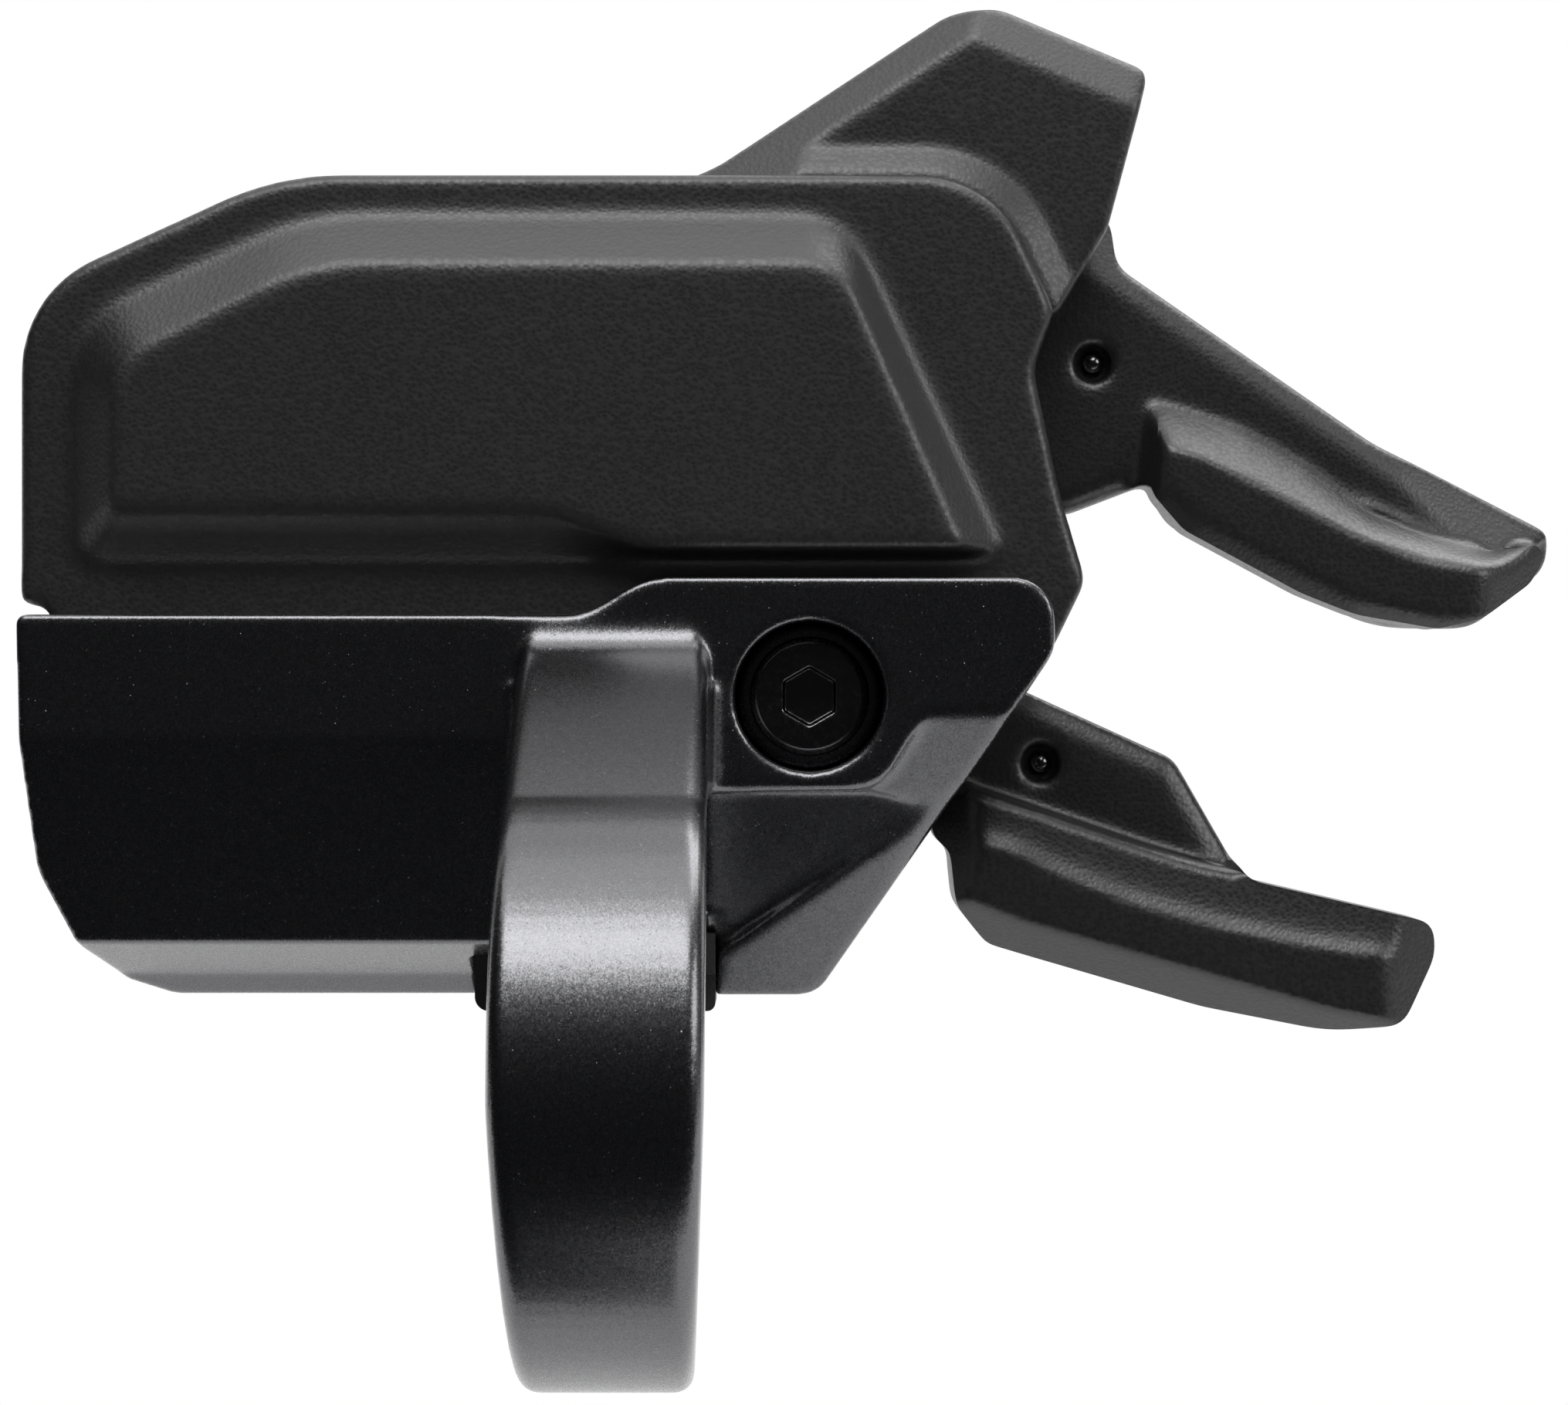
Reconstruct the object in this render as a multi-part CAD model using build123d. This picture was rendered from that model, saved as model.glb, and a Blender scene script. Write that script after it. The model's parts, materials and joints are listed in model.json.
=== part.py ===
from build123d import *
import os
from math import cos, radians, sin, sqrt, tan

# Trigger gear shifter for the right-hand side of a handlebar.
# Origin: centre of the handlebar bore, in the middle of the clamp band.
# +X along the handlebar, +Y from the front cover towards the back cover, +Z up from the bar
# towards the housing. All sizes are in millimetres.

# Handlebar clamp
BAR_R = 11.1                 # bore for a 22.2 mm bar
BAND_R = 14.1                # outside of the band
BAND_HALF = 4.8              # half the band's width in front
BAND_BACK_HALF = 4.3         # and at the lugs
LEFT_DRAFT, RIGHT_DRAFT = 0.75, 0.45    # further narrowing of the sides at the band's bottom
RIGHT_FLARE = 0.25           # widening of the right side at the neck's top
BAND_ROUND = 0.9
NECK_ANGLE = 72.0            # where the round band turns into the straight neck
NECK_TOP_Z = 20.64           # where the neck's plane meets the plate's front
NECK_SWEEP = 2.1             # radius of the sweep between them
NECK_SIDE_SWEEP = 1.0
SLIT_LOW, SLIT_HIGH = 0.8, 2.3
LUG_BACK = 19.8
FREE_LUG_LOW = -3.6
CLAMP_BOLT_Y = 16.3
CLAMP_HEAD_R, CLAMP_HEAD_HEIGHT = 3.3, 3.2
CLAMP_HEX_AF, CLAMP_HEX_DEPTH = 3.0, 1.9
M4_R = 2.0
M4_CLEAR_R = 2.15
NUT_LEFT, NUT_RIGHT = -6.9, 4.9
NUT_LOW, NUT_LEDGE, NUT_TOP = 2.56, 4.4, 6.4
NUT_FRONT = 12.7
NUT_HOOK = 1.2               # how far its top reaches in front of its lower part

# Depths, from the front to the back
PLATE_FRONT = 8.0
PLATE_BACK = 10.4
PLATEAU_FRONT = 8.2
RIM_FRONT = 10.4
PADDLE_FACE = 13.2           # front of the index finger paddle
PADDLE_COLLAR = 12.3         # its raised collar beside the cover
COLLAR_WIDTH, COLLAR_SLOPE = 1.5, 1.3
PADDLE_BACK = 15.6
PARTING = 16.0               # cover meets rear housing
LEVER_FRONT = 16.5
ARM_FRONT = 18.3
LEVER_BACK = 20.0
PAD_BACK = 22.6
HOUSING_BACK = 24.6
WALL = 1.6

# Heights on the bracket's front plate
CREASE_Z = 15.9
FACE_LOW_Y, FACE_LOW_Z = 10.5, 6.1
LEAN = (FACE_LOW_Y - PLATE_FRONT) / (CREASE_Z - FACE_LOW_Z)
STRIP_Y, STRIP_Z = 15.0, 4.35
FLANGE_LOW = 3.3
FLANGE_TOP = 7.4
FLANGE_BACK = 18.6
FLANGE_FRONT_Y = 16.1
RIDGE_Z = 17.2               # where the sloping plane starts, right of the band
SPLIT_X, SHELF_Z = 3.5, 16.5  # the tray is deep left of and above these
COVER_SHELF = 1.0

# Bolt that joins the unit to the bracket
UNIT_X, UNIT_Z = 9.5, 18.0
COUNTERBORE_R = 3.62
BOSS_R = COUNTERBORE_R + 1.1
HEAD_R = 2.9
HEAD_FRONT, HEAD_SEAT = 9.9, 11.7
BOSS_BACK = 13.2
UNIT_NUT_R, NUT_FLANGE_R = 3.1, 3.7
UNIT_NUT_BACK, NUT_FLANGE_FRONT = 15.4, 14.4
HEX_AF, HEX_DEPTH = 2.5, 1.4

# Pivots, all parallel to Y, and what their levers turn through
UPPER_PIVOT = (17.5, 34.6)
UPPER_SCREW = (23.6, 34.55)
UPPER_TRAVEL = 8.0
LOWER_PIVOT = (13.4, 13.9)
LOWER_SCREW = (21.0, 14.7)
LOWER_TRAVEL = 8.0
PADDLE_PIVOT = (5.0, 39.6)
PADDLE_TRAVEL = -3.0
PIN_R, PADDLE_PIN_R = 1.0, 0.75
PIN_START_UPPER, PIN_START_LOWER, PIN_START_PADDLE = 12.6, 15.3, 10.3
PIN_END, PADDLE_PIN_END = 23.6, 18.6
PIN_BOSS_R = 2.0
SPRING_BACK = 22.2
BUSH_R, HUB_R = 1.6, 2.4
RUNNING = 0.05               # radial clearance of a pin in its bush
CLEAR = 0.35                 # gap round a moving part

# Thumb paddles
RECESS_R, RECESS_DEPTH = 1.0, 0.9
PADDLE_SCREW_R, PADDLE_SCREW_TIP = 0.5, 0.75
PADDLE_HEAD_R, PADDLE_HEAD = 1.6, 1.0
TAIL_R, ARM_END_R = 1.0, 1.8
UPPER_PAD_FRONT, LOWER_PAD_FRONT = 14.0, 13.0
LOWER_STEP_FRONT = 14.2      # upper edge of the lower pad's sloping top band
PLATE_ROUND, PLATE_BEVEL = 0.9, 0.45
BRACKET_GAP = 0.6            # between the lower pad and the bracket's edge
LIP, LIP_FRONT = 0.6, 19.2   # step along the upper pad's lower edge
UPPER_TAIL = (12.3, 33.7)
LOWER_TAIL = (8.3, 13.2)

# Screws that hold the two shells together, and the board between them
HOUSING_SCREWS = [(-25.0, 36.2), (-24.4, 11.6), (-1.5, 40.6), (19.2, 24.8), (-0.6, 10.2)]
SCREW_R, SCREW_HEAD_R, SCREW_BOSS_R = 0.9, 1.8, 2.0
SCREW_SEAT = 23.3
BOARD_FRONT, BOARD_BACK = 14.4, 15.2
FLEX = 0.2
SEAL = 0.5
SPRING_PITCH, SPRING_WIRE_R, SPRING_ROOM_R = 0.55, 0.2, 1.65
SWITCH_BACK, SWITCH_WIDTH, PLUNGER_R = 20.3, 4.0, 0.8

# Coin cell
CELL_X, CELL_Z = -15.8, 24.6
CELL_R, CELL_FRONT, CELL_BACK = 8.0, 19.2, 22.4
LEAF = 0.2                   # thickness of the contact springs
CAP_R = 9.6                  # opening for the battery cover
CAP_PLAY = 0.15
CAP_SEAT = 22.6
WELL_FRONT = 17.9
WELL_WALL = 1.3

FAR = 60.0


def outline(*corners):
    """A face in X and Z from corners (x, z, radius)."""
    points = [Vector(x, z) for x, z, _ in corners]
    entries, exits, arcs = [], [], []
    for i, (_, _, radius) in enumerate(corners):
        corner, after = points[i], points[(i + 1) % len(points)]
        back = (points[i - 1] - corner).normalized()
        ahead = (after - corner).normalized()
        if radius == 0:
            entries.append(corner)
            exits.append(corner)
            continue
        half = radians(back.get_angle(ahead)) / 2
        entries.append(corner + back * (radius / tan(half)))
        exits.append(corner + ahead * (radius / tan(half)))
        centre = corner + (back + ahead).normalized() * (radius / sin(half))
        middle = centre + (corner - centre).normalized() * radius
        arcs.append(ThreePointArc(entries[i], middle, exits[i]))
    lines = [Line(exits[i - 1], entries[i]) for i in range(len(points))
             if (exits[i - 1] - entries[i]).length > 0.001]
    return make_face(arcs + lines)


def prism(face, front, back):
    """The face carried from depth front to depth back."""
    return extrude(Plane.XZ.offset(-back) * face, amount=back - front)


def side_prism(points, left, right):
    """A polygon of (y, z) points carried along the bar from left to right."""
    return extrude(Plane.YZ.offset(left) * make_face(Polyline(*points, close=True)), amount=right - left)


def cylinder(x, z, radius, front, back):
    return prism(Pos(x, z) * Circle(radius), front, back)


def beyond(a, b, c, outside):
    """All space beyond the plane through a, b and c, on the side of the point outside."""
    a, b, c, outside = Vector(*a), Vector(*b), Vector(*c), Vector(*outside)
    normal = (b - a).cross(c - a).normalized()
    if normal.dot(outside - a) < 0:
        normal = normal * -1
    block = Box(2 * FAR, 2 * FAR, FAR, align=(Align.CENTER, Align.CENTER, Align.MIN))
    return Plane(origin=a, z_dir=normal) * block


def turned(shape, pivot, angle):
    """The shape turned about a pivot; a positive angle lifts what lies right of it."""
    axis = Axis((pivot[0], 0, pivot[1]), (0, -1, 0))
    return shape.rotate(axis, angle)


def swept_room(face, pivot, travel, front, back, steps=4):
    """The room that a flat lever needs through its travel, with clearance all round."""
    room = prism(offset(face, CLEAR), front, back)
    turns = [turned(room, pivot, travel * i / steps) for i in range(1, steps + 1)]
    return room.fuse(*turns)


def softened(solid, edges, *radii):
    """The first of the radii that the edges take."""
    for radius in radii:
        try:
            rounded = fillet(edges, radius)
            if rounded.is_valid and abs(rounded.volume - solid.volume) < 0.2 * solid.volume:
                return rounded
        except ValueError:
            continue
        except RuntimeError:
            continue
    print("edges left sharp")
    return solid


# Outline of the cover and the rear housing above the bracket
COVER_LEFT, COVER_TOP = -28.7, 43.28
COVER_UPPER = [
    (COVER_LEFT, 22.4, 0.4),
    (COVER_LEFT, 37.56, 5.9),
    (-16.24, COVER_TOP, 14.0),
    (18.4, COVER_TOP, 5.5),
    (21.4, 36.7, 0.8),
    (20.35, 33.9, 2.0),
    (21.65, 27.8, 3.0),
    (22.9, 23.6, 0.6),
    (21.2, 20.1, 0.6),
]
# The lower part sits in the bracket's tray
NEST_LOWER = [
    (19.45, 19.9, 0.0),
    (12.4, FLANGE_TOP, 1.0),
    (-25.4, FLANGE_TOP, 2.0),
    (-26.5, 10.2, 3.0),
    (-27.1, 15.9, 4.0),
    (-27.2, 22.0, 0.6),
    (-27.7, 22.4, 0.0),
]
BRACKET_OUTLINE = [
    (-28.55, 21.92, 0.4),
    (-28.42, 15.9, 8.0),
    (-27.75, 9.6, 3.0),
    (-25.9, 5.9, 1.5),
    (-24.2, 4.1, 1.2),
    (-21.9, FLANGE_LOW, 1.2),
    (9.87, FLANGE_LOW, 1.6),
    (21.3, 20.23, 2.0),
    (21.15, 23.72, 2.0),
    (1.75, 23.72, 4.0),
    (-1.3, 21.92, 4.0),
]


FULL_FACE = outline(*COVER_UPPER, *NEST_LOWER)


def window(left, low, right, high):
    """The part of the housing's outline inside a rectangle."""
    middle = ((left + right) / 2, (low + high) / 2)
    return FULL_FACE & (Pos(*middle) * Rectangle(right - left, high - low))


def link(start, start_radius, end, end_radius):
    """A flat bar between two round ends."""
    a, b = Vector(*start), Vector(*end)
    side = (b - a).normalized().rotate(Axis.Z, 90)
    web = make_face(Polyline(a + side * start_radius, b + side * end_radius,
                             b - side * end_radius, a - side * start_radius, close=True))
    return web + Pos(*start) * Circle(start_radius) + Pos(*end) * Circle(end_radius)


# Thumb paddles, seen from the front
UPPER_OUTLINE = outline(
    (19.5, 38.4, 0.8), (23.4, 42.2, 0.8), (24.5, 41.6, 0.5), (24.75, 39.4, 1.6), (37.6, 30.5, 8.0),
    (46.75, 26.05, 0.9), (46.3, 24.3, 1.6), (42.7, 21.45, 2.4), (38.0, 21.55, 7.0), (27.7, 26.7, 2.2),
    (26.5, 28.7, 0.8), (21.9, 26.95, 1.5), (19.5, 28.6, 1.0),
)
LOWER_OUTLINE = outline(
    (15.9, 18.4, 0.8), (18.8, 18.85, 0.8), (27.6, 14.85, 1.2), (31.0, 8.95, 1.2), (40.2, 6.8, 0.9),
    (40.35, 5.3, 2.0), (38.6, 1.95, 1.3), (35.0, 1.6, 8.0), (28.9, 2.75, 8.0), (18.3, 5.85, 0.7),
    (16.75, 7.8, 1.5), (16.5, 10.4, 0.5), (15.6, 11.2, 0.5),
)


def paddle_root(face, right):
    return face & (Pos(right - FAR / 2, 0) * Rectangle(FAR, 4 * FAR))


# What passes into the housing through each lever's opening
UPPER_ROOT = paddle_root(UPPER_OUTLINE, 25.0) + link(UPPER_PIVOT, HUB_R, UPPER_TAIL, TAIL_R)
LOWER_ROOT = paddle_root(LOWER_OUTLINE, 22.0) + link(LOWER_PIVOT, HUB_R, LOWER_TAIL, TAIL_R)
# Index finger paddle, with the tongue that reaches its pivot inside the cover
PADDLE_OUTLINE = outline(
    (2.6, 43.1, 0.3), (5.1, 44.15, 4.0), (16.4, 51.6, 3.0), (18.8, 51.85, 2.0), (26.2, 48.75, 0.6),
    (24.1, 40.9, 1.2), (21.5, 36.5, 0.6), (19.2, 37.0, 0.8), (16.6, 38.2, 1.0), (2.9, 37.9, 1.6),
)


def clamp_band_profile():
    """The C of the band, its neck swept into the plate and the two lugs, seen along the bar."""
    neck = Vector(-BAND_R * cos(radians(NECK_ANGLE)), BAND_R * sin(radians(NECK_ANGLE)))
    neck_end = Vector(PLATE_FRONT, NECK_TOP_Z)
    slope = (neck_end - neck).normalized()
    turn = radians(90 - slope.get_angle(Vector(1, 0)))
    reach = NECK_SWEEP * tan(turn / 2)
    sweep_start, sweep_end = neck_end - slope * reach, neck_end + Vector(0, reach)
    centre = sweep_end - Vector(NECK_SWEEP, 0)
    sweep_middle = centre + (neck_end - centre).normalized() * NECK_SWEEP

    free_start = (sqrt(BAND_R ** 2 - FREE_LUG_LOW ** 2), FREE_LUG_LOW)
    free_bore = (sqrt(BAR_R ** 2 - SLIT_LOW ** 2), SLIT_LOW)
    fixed_bore = (sqrt(BAR_R ** 2 - SLIT_HIGH ** 2), SLIT_HIGH)
    plate_low = (PLATE_BACK + LEAN * (CREASE_Z - FLANGE_TOP), FLANGE_TOP)
    corners = [
        fixed_bore, (LUG_BACK, SLIT_HIGH), (LUG_BACK, FLANGE_TOP), plate_low,
        (PLATE_BACK, CREASE_Z), (PLATE_BACK, sweep_end.Y), sweep_end,
    ]
    back_corners = [free_start, (LUG_BACK, FREE_LUG_LOW), (LUG_BACK, SLIT_LOW), free_bore]
    edges = [Line(a, b) for a, b in zip(corners, corners[1:])]
    edges += [Line(a, b) for a, b in zip(back_corners, back_corners[1:])]
    edges.append(ThreePointArc(sweep_end, sweep_middle, sweep_start))
    edges.append(Line(sweep_start, neck))
    edges.append(ThreePointArc(neck, (-BAND_R, 0), free_start))
    edges.append(ThreePointArc(free_bore, (-BAR_R, 0), fixed_bore))
    return make_face(edges)


def band_side(side, end_half, end_z):
    """All space outside the band's side: from its full width in front it narrows to the back,
    and towards end_z to end_half."""
    return beyond((side * BAND_HALF, -BAND_R, 0), (side * BAND_BACK_HALF, BAND_R, 0),
                  (side * end_half, -BAND_R, end_z), (side * FAR, 0, 0))


def make_clamp_band():
    """The band, with a parting line half way up in front."""
    band = extrude(Plane.YZ.offset(-BAND_HALF - RIGHT_FLARE) * clamp_band_profile(),
                   amount=2 * (BAND_HALF + RIGHT_FLARE))
    band -= band_side(-1, BAND_HALF, NECK_TOP_Z)
    band -= band_side(1, BAND_HALF + RIGHT_FLARE, NECK_TOP_Z)
    band -= band_side(-1, BAND_HALF - LEFT_DRAFT, -BAND_R)
    band -= band_side(1, BAND_HALF - RIGHT_DRAFT, -BAND_R)
    return softened(band, [edge for edge in band.edges() if is_band_rim(edge)], BAND_ROUND, 0.6)


def is_band_rim(edge):
    """An edge along the outside of the band or its neck, on the left or the right side."""
    middle = edge @ 0.5
    if abs(middle.X) < BAND_BACK_HALF - LEFT_DRAFT or edge.length < 1:
        return False
    on_ring = abs(sqrt(middle.Y ** 2 + middle.Z ** 2) - BAND_R) < 0.1
    on_neck = BAND_R < middle.Z < NECK_TOP_Z and middle.Y < PLATE_FRONT - 0.5
    return on_ring or on_neck


def tilted_back(depth):
    """All space in front of the plate's leaning lower part, carried back by depth."""
    low = (PLATE_FRONT + depth + LEAN * (CREASE_Z - FLANGE_TOP), FLANGE_TOP)
    top = (PLATE_FRONT + depth, CREASE_Z)
    return beyond((0, *top), (10, *top), (0, *low), (0, 0, FLANGE_TOP))


def make_tray_nest():
    """The space inside the bracket's tray, which the front cover fills."""
    left_part = prism(window(-FAR, 0, SPLIT_X, 24.0), PLATE_BACK, PARTING)
    left_part -= tilted_back(PLATE_BACK - PLATE_FRONT)
    right_part = prism(window(SPLIT_X, SHELF_Z, FAR, 24.0), PLATE_BACK, PARTING)
    right_part -= cylinder(UNIT_X, UNIT_Z, BOSS_R, 0, BOSS_BACK)
    right_part += cylinder(UNIT_X, UNIT_Z, NUT_FLANGE_R + 0.8, BOSS_BACK, PARTING)
    shelf = prism(window(SPLIT_X, 0, FAR, SHELF_Z), PARTING - COVER_SHELF, PARTING)
    return left_part + right_part + shelf


def make_face_cuts():
    """What is taken from the front of the plate, left and right of the band."""
    left_cut = side_prism(
        [(0, CREASE_Z), (PLATE_FRONT, CREASE_Z), (FACE_LOW_Y, FACE_LOW_Z), (STRIP_Y, STRIP_Z),
         (FLANGE_FRONT_Y, FLANGE_LOW), (FLANGE_FRONT_Y, 0), (0, 0)],
        -FAR, 4.0,
    )
    # Right of the band the face ends at a curved ridge above a plane that slopes down and back.
    ridge = outline(
        (FAR, RIDGE_Z, 0), (15.1, RIDGE_Z, 0.8), (12.9, 13.52, 2.2), (6.3, 13.42, 1.6),
        (4.0, 11.2, 0), (4.0, 0, 0), (FAR, 0, 0),
    )
    slope = beyond(
        (0, PLATE_FRONT, RIDGE_Z), (10, PLATE_FRONT, RIDGE_Z), (0, STRIP_Y, FLANGE_LOW), (0, 0, 0),
    )
    right_cut = prism(ridge, 0, FAR) & slope
    scoop = outline(
        (3.0, 13.35, 0), (12.4, 13.45, 1.0), (16.1, 12.6, 0.4), (11.8, 10.2, 7.0), (4.9, 5.4, 0),
        (3.0, 5.4, 0),
    )
    scoop_back = beyond((15.6, 10.45, 12.3), (5.0, 12.1, 12.3), (5.0, 14.3, 6.5), (5.0, 0, 6.5))
    return left_cut, right_cut + (prism(scoop, 0, FAR) & scoop_back)


def side_cove(side, x, plan_y, low, high):
    """Concave strip between the neck's side and the plate; low and high are (y, z) on the plate."""
    edge, reach = Vector(x, plan_y), NECK_SIDE_SWEEP
    out, front = edge + Vector(side * reach, 0), edge - Vector(0, reach)
    centre = edge + Vector(side * reach, -reach)
    middle = centre + (edge - centre).normalized() * reach
    inner, back = edge - Vector(side, 0), edge + Vector(0, 1)
    corner = make_face([
        ThreePointArc(out, middle, front), Line(front, inner - Vector(0, reach)),
        Line(inner - Vector(0, reach), inner + Vector(0, 1)), Line(inner + Vector(0, 1), out + Vector(0, 1)),
        Line(out + Vector(0, 1), out),
    ])
    run = Vector(0, high[0] - low[0], high[1] - low[1])
    return extrude(Pos(0, low[0] - plan_y, low[1]) * corner, amount=run.length, dir=run.normalized())


def make_clamp_bracket():
    """One casting: tray with its face plate, band, neck and lugs."""
    outer = outline(*BRACKET_OUTLINE)
    tray = prism(outer, PLATE_FRONT, PARTING)
    flange = outer & (Pos(-7.6, 5.0) * Rectangle(34.2, 4.8))
    tray += prism(flange, PLATE_FRONT, FLANGE_BACK)
    left_cut, right_cut = make_face_cuts()
    tray = tray - left_cut - right_cut - make_tray_nest()

    neck_left = BAND_HALF - (BAND_HALF - BAND_BACK_HALF) * (PLATE_FRONT + BAND_R) / (2 * BAND_R)
    crease, cove_top = (PLATE_FRONT, CREASE_Z), (PLATE_FRONT, NECK_TOP_Z - NECK_SWEEP)
    bracket = tray + make_clamp_band()
    bracket += side_cove(-1, -neck_left, PLATE_FRONT, crease, cove_top)
    bracket += side_cove(-1, -neck_left, PLATE_FRONT, (FACE_LOW_Y, FACE_LOW_Z), crease)
    bracket += side_cove(1, neck_left + RIGHT_FLARE, PLATE_FRONT, (PLATE_FRONT, 13.5), cove_top)
    bracket -= Rot(0, 90, 0) * Cylinder(BAR_R, FAR)
    bracket -= side_prism([(8.0, SLIT_LOW), (FAR, SLIT_LOW), (FAR, SLIT_HIGH), (8.0, SLIT_HIGH)], -FAR, FAR)
    bracket -= cylinder(UNIT_X, UNIT_Z, COUNTERBORE_R, 0, HEAD_SEAT)
    bracket -= cylinder(UNIT_X, UNIT_Z, M4_CLEAR_R, 0, PARTING)
    bolt_hole = Pos(0, CLAMP_BOLT_Y, 0) * Cylinder(M4_CLEAR_R, 2 * FLANGE_TOP - 2)
    head_room = Cylinder(CLAMP_HEAD_R + CLEAR, FAR, align=(Align.CENTER, Align.CENTER, Align.MAX))
    bracket -= bolt_hole + Pos(0, CLAMP_BOLT_Y, FREE_LUG_LOW) * head_room
    return bracket - clamp_nut_block()


def clamp_nut_block():
    """T-shaped block: its deeper top hooks over a ledge in the fixed lug."""
    top_right, top_left = (NUT_RIGHT, NUT_TOP, 0), (NUT_LEFT, NUT_TOP, 0)
    low = outline((NUT_LEFT, NUT_LOW, 0.7), (NUT_RIGHT, NUT_LOW, 0.4), top_right, top_left)
    high = outline((NUT_LEFT, NUT_LEDGE, 0), (NUT_RIGHT, NUT_LEDGE, 0), top_right, top_left)
    return prism(low, NUT_FRONT + NUT_HOOK, FLANGE_BACK) + prism(high, NUT_FRONT, FLANGE_BACK)


def make_clamp_nut():
    return clamp_nut_block() - Pos(0, CLAMP_BOLT_Y, 0) * Cylinder(M4_R, FAR)


def hex_socket(across_flats, depth):
    """A hexagonal hole with two corners up and down, cut along +Z from z = 0."""
    hexagon = RegularPolygon(across_flats / 2, 6, major_radius=False, rotation=0)
    return extrude(Rot(0, 0, 30) * hexagon, amount=depth)


def make_unit_bolt():
    """Low-head M4 bolt along Y, with a chamfered head and a hex socket."""
    head = cylinder(UNIT_X, UNIT_Z, HEAD_R, HEAD_FRONT, HEAD_SEAT)
    head = chamfer(head.edges().filter_by(GeomType.CIRCLE).sort_by(Axis.Y)[0], 0.35)
    shank = cylinder(UNIT_X, UNIT_Z, M4_R, HEAD_SEAT, PARTING - 0.8)
    socket_front = Plane(origin=(UNIT_X, HEAD_FRONT, UNIT_Z), x_dir=(1, 0, 0), z_dir=(0, 1, 0))
    return head + shank - socket_front * hex_socket(HEX_AF, HEX_DEPTH)


def make_unit_nut():
    """Round flanged insert moulded into the cover behind the bracket's boss."""
    ring = cylinder(UNIT_X, UNIT_Z, UNIT_NUT_R, BOSS_BACK, UNIT_NUT_BACK)
    flange = cylinder(UNIT_X, UNIT_Z, NUT_FLANGE_R, NUT_FLANGE_FRONT, UNIT_NUT_BACK)
    return ring + flange - cylinder(UNIT_X, UNIT_Z, M4_R, 0, FAR)


def make_clamp_bolt():
    """M4 bolt that draws the free lug up towards the clamp nut."""
    standing = (Align.CENTER, Align.CENTER, Align.MIN)
    head_low = FREE_LUG_LOW - CLAMP_HEAD_HEIGHT
    head = Pos(0, 0, head_low) * Cylinder(CLAMP_HEAD_R, CLAMP_HEAD_HEIGHT, align=standing)
    head = chamfer(head.edges().filter_by(GeomType.CIRCLE).sort_by(Axis.Z)[0], 0.3)
    shank_length = NUT_TOP - 0.4 - FREE_LUG_LOW
    shank = Pos(0, 0, FREE_LUG_LOW) * Cylinder(M4_R, shank_length, align=standing)
    socket = Pos(0, 0, head_low) * hex_socket(CLAMP_HEX_AF, CLAMP_HEX_DEPTH)
    return Pos(0, CLAMP_BOLT_Y, 0) * (head + shank - socket)


# The plateau's outer edge on the rim face and its inner edge on the front face
PLATEAU_OUTER = [
    (-26.1, 24.4, 1.2), (-26.1, 36.15, 4.5), (-14.65, 41.33, 13.0), (11.2, 41.33, 4.2),
    (19.05, 24.8, 0.5), (1.9, 24.8, 2.0), (-3.2, 24.4, 2.0),
]
PLATEAU_INNER = [
    (-23.9, 26.9, 0.5), (-23.9, 33.95, 3.0), (-14.5, 38.7, 13.0), (10.95, 38.7, 2.6),
    (16.75, 25.1, 0.3), (1.2, 25.1, 2.0), (-3.2, 26.9, 2.0),
]


def make_plateau():
    outer = Plane.XZ.offset(-RIM_FRONT) * outline(*PLATEAU_OUTER)
    inner = Plane.XZ.offset(-PLATEAU_FRONT) * outline(*PLATEAU_INNER)
    return loft([outer, inner], ruled=True)


def drilled(solid, holes, radius, front, back):
    return solid - [cylinder(x, z, radius, front, back) for x, z in holes]


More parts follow.
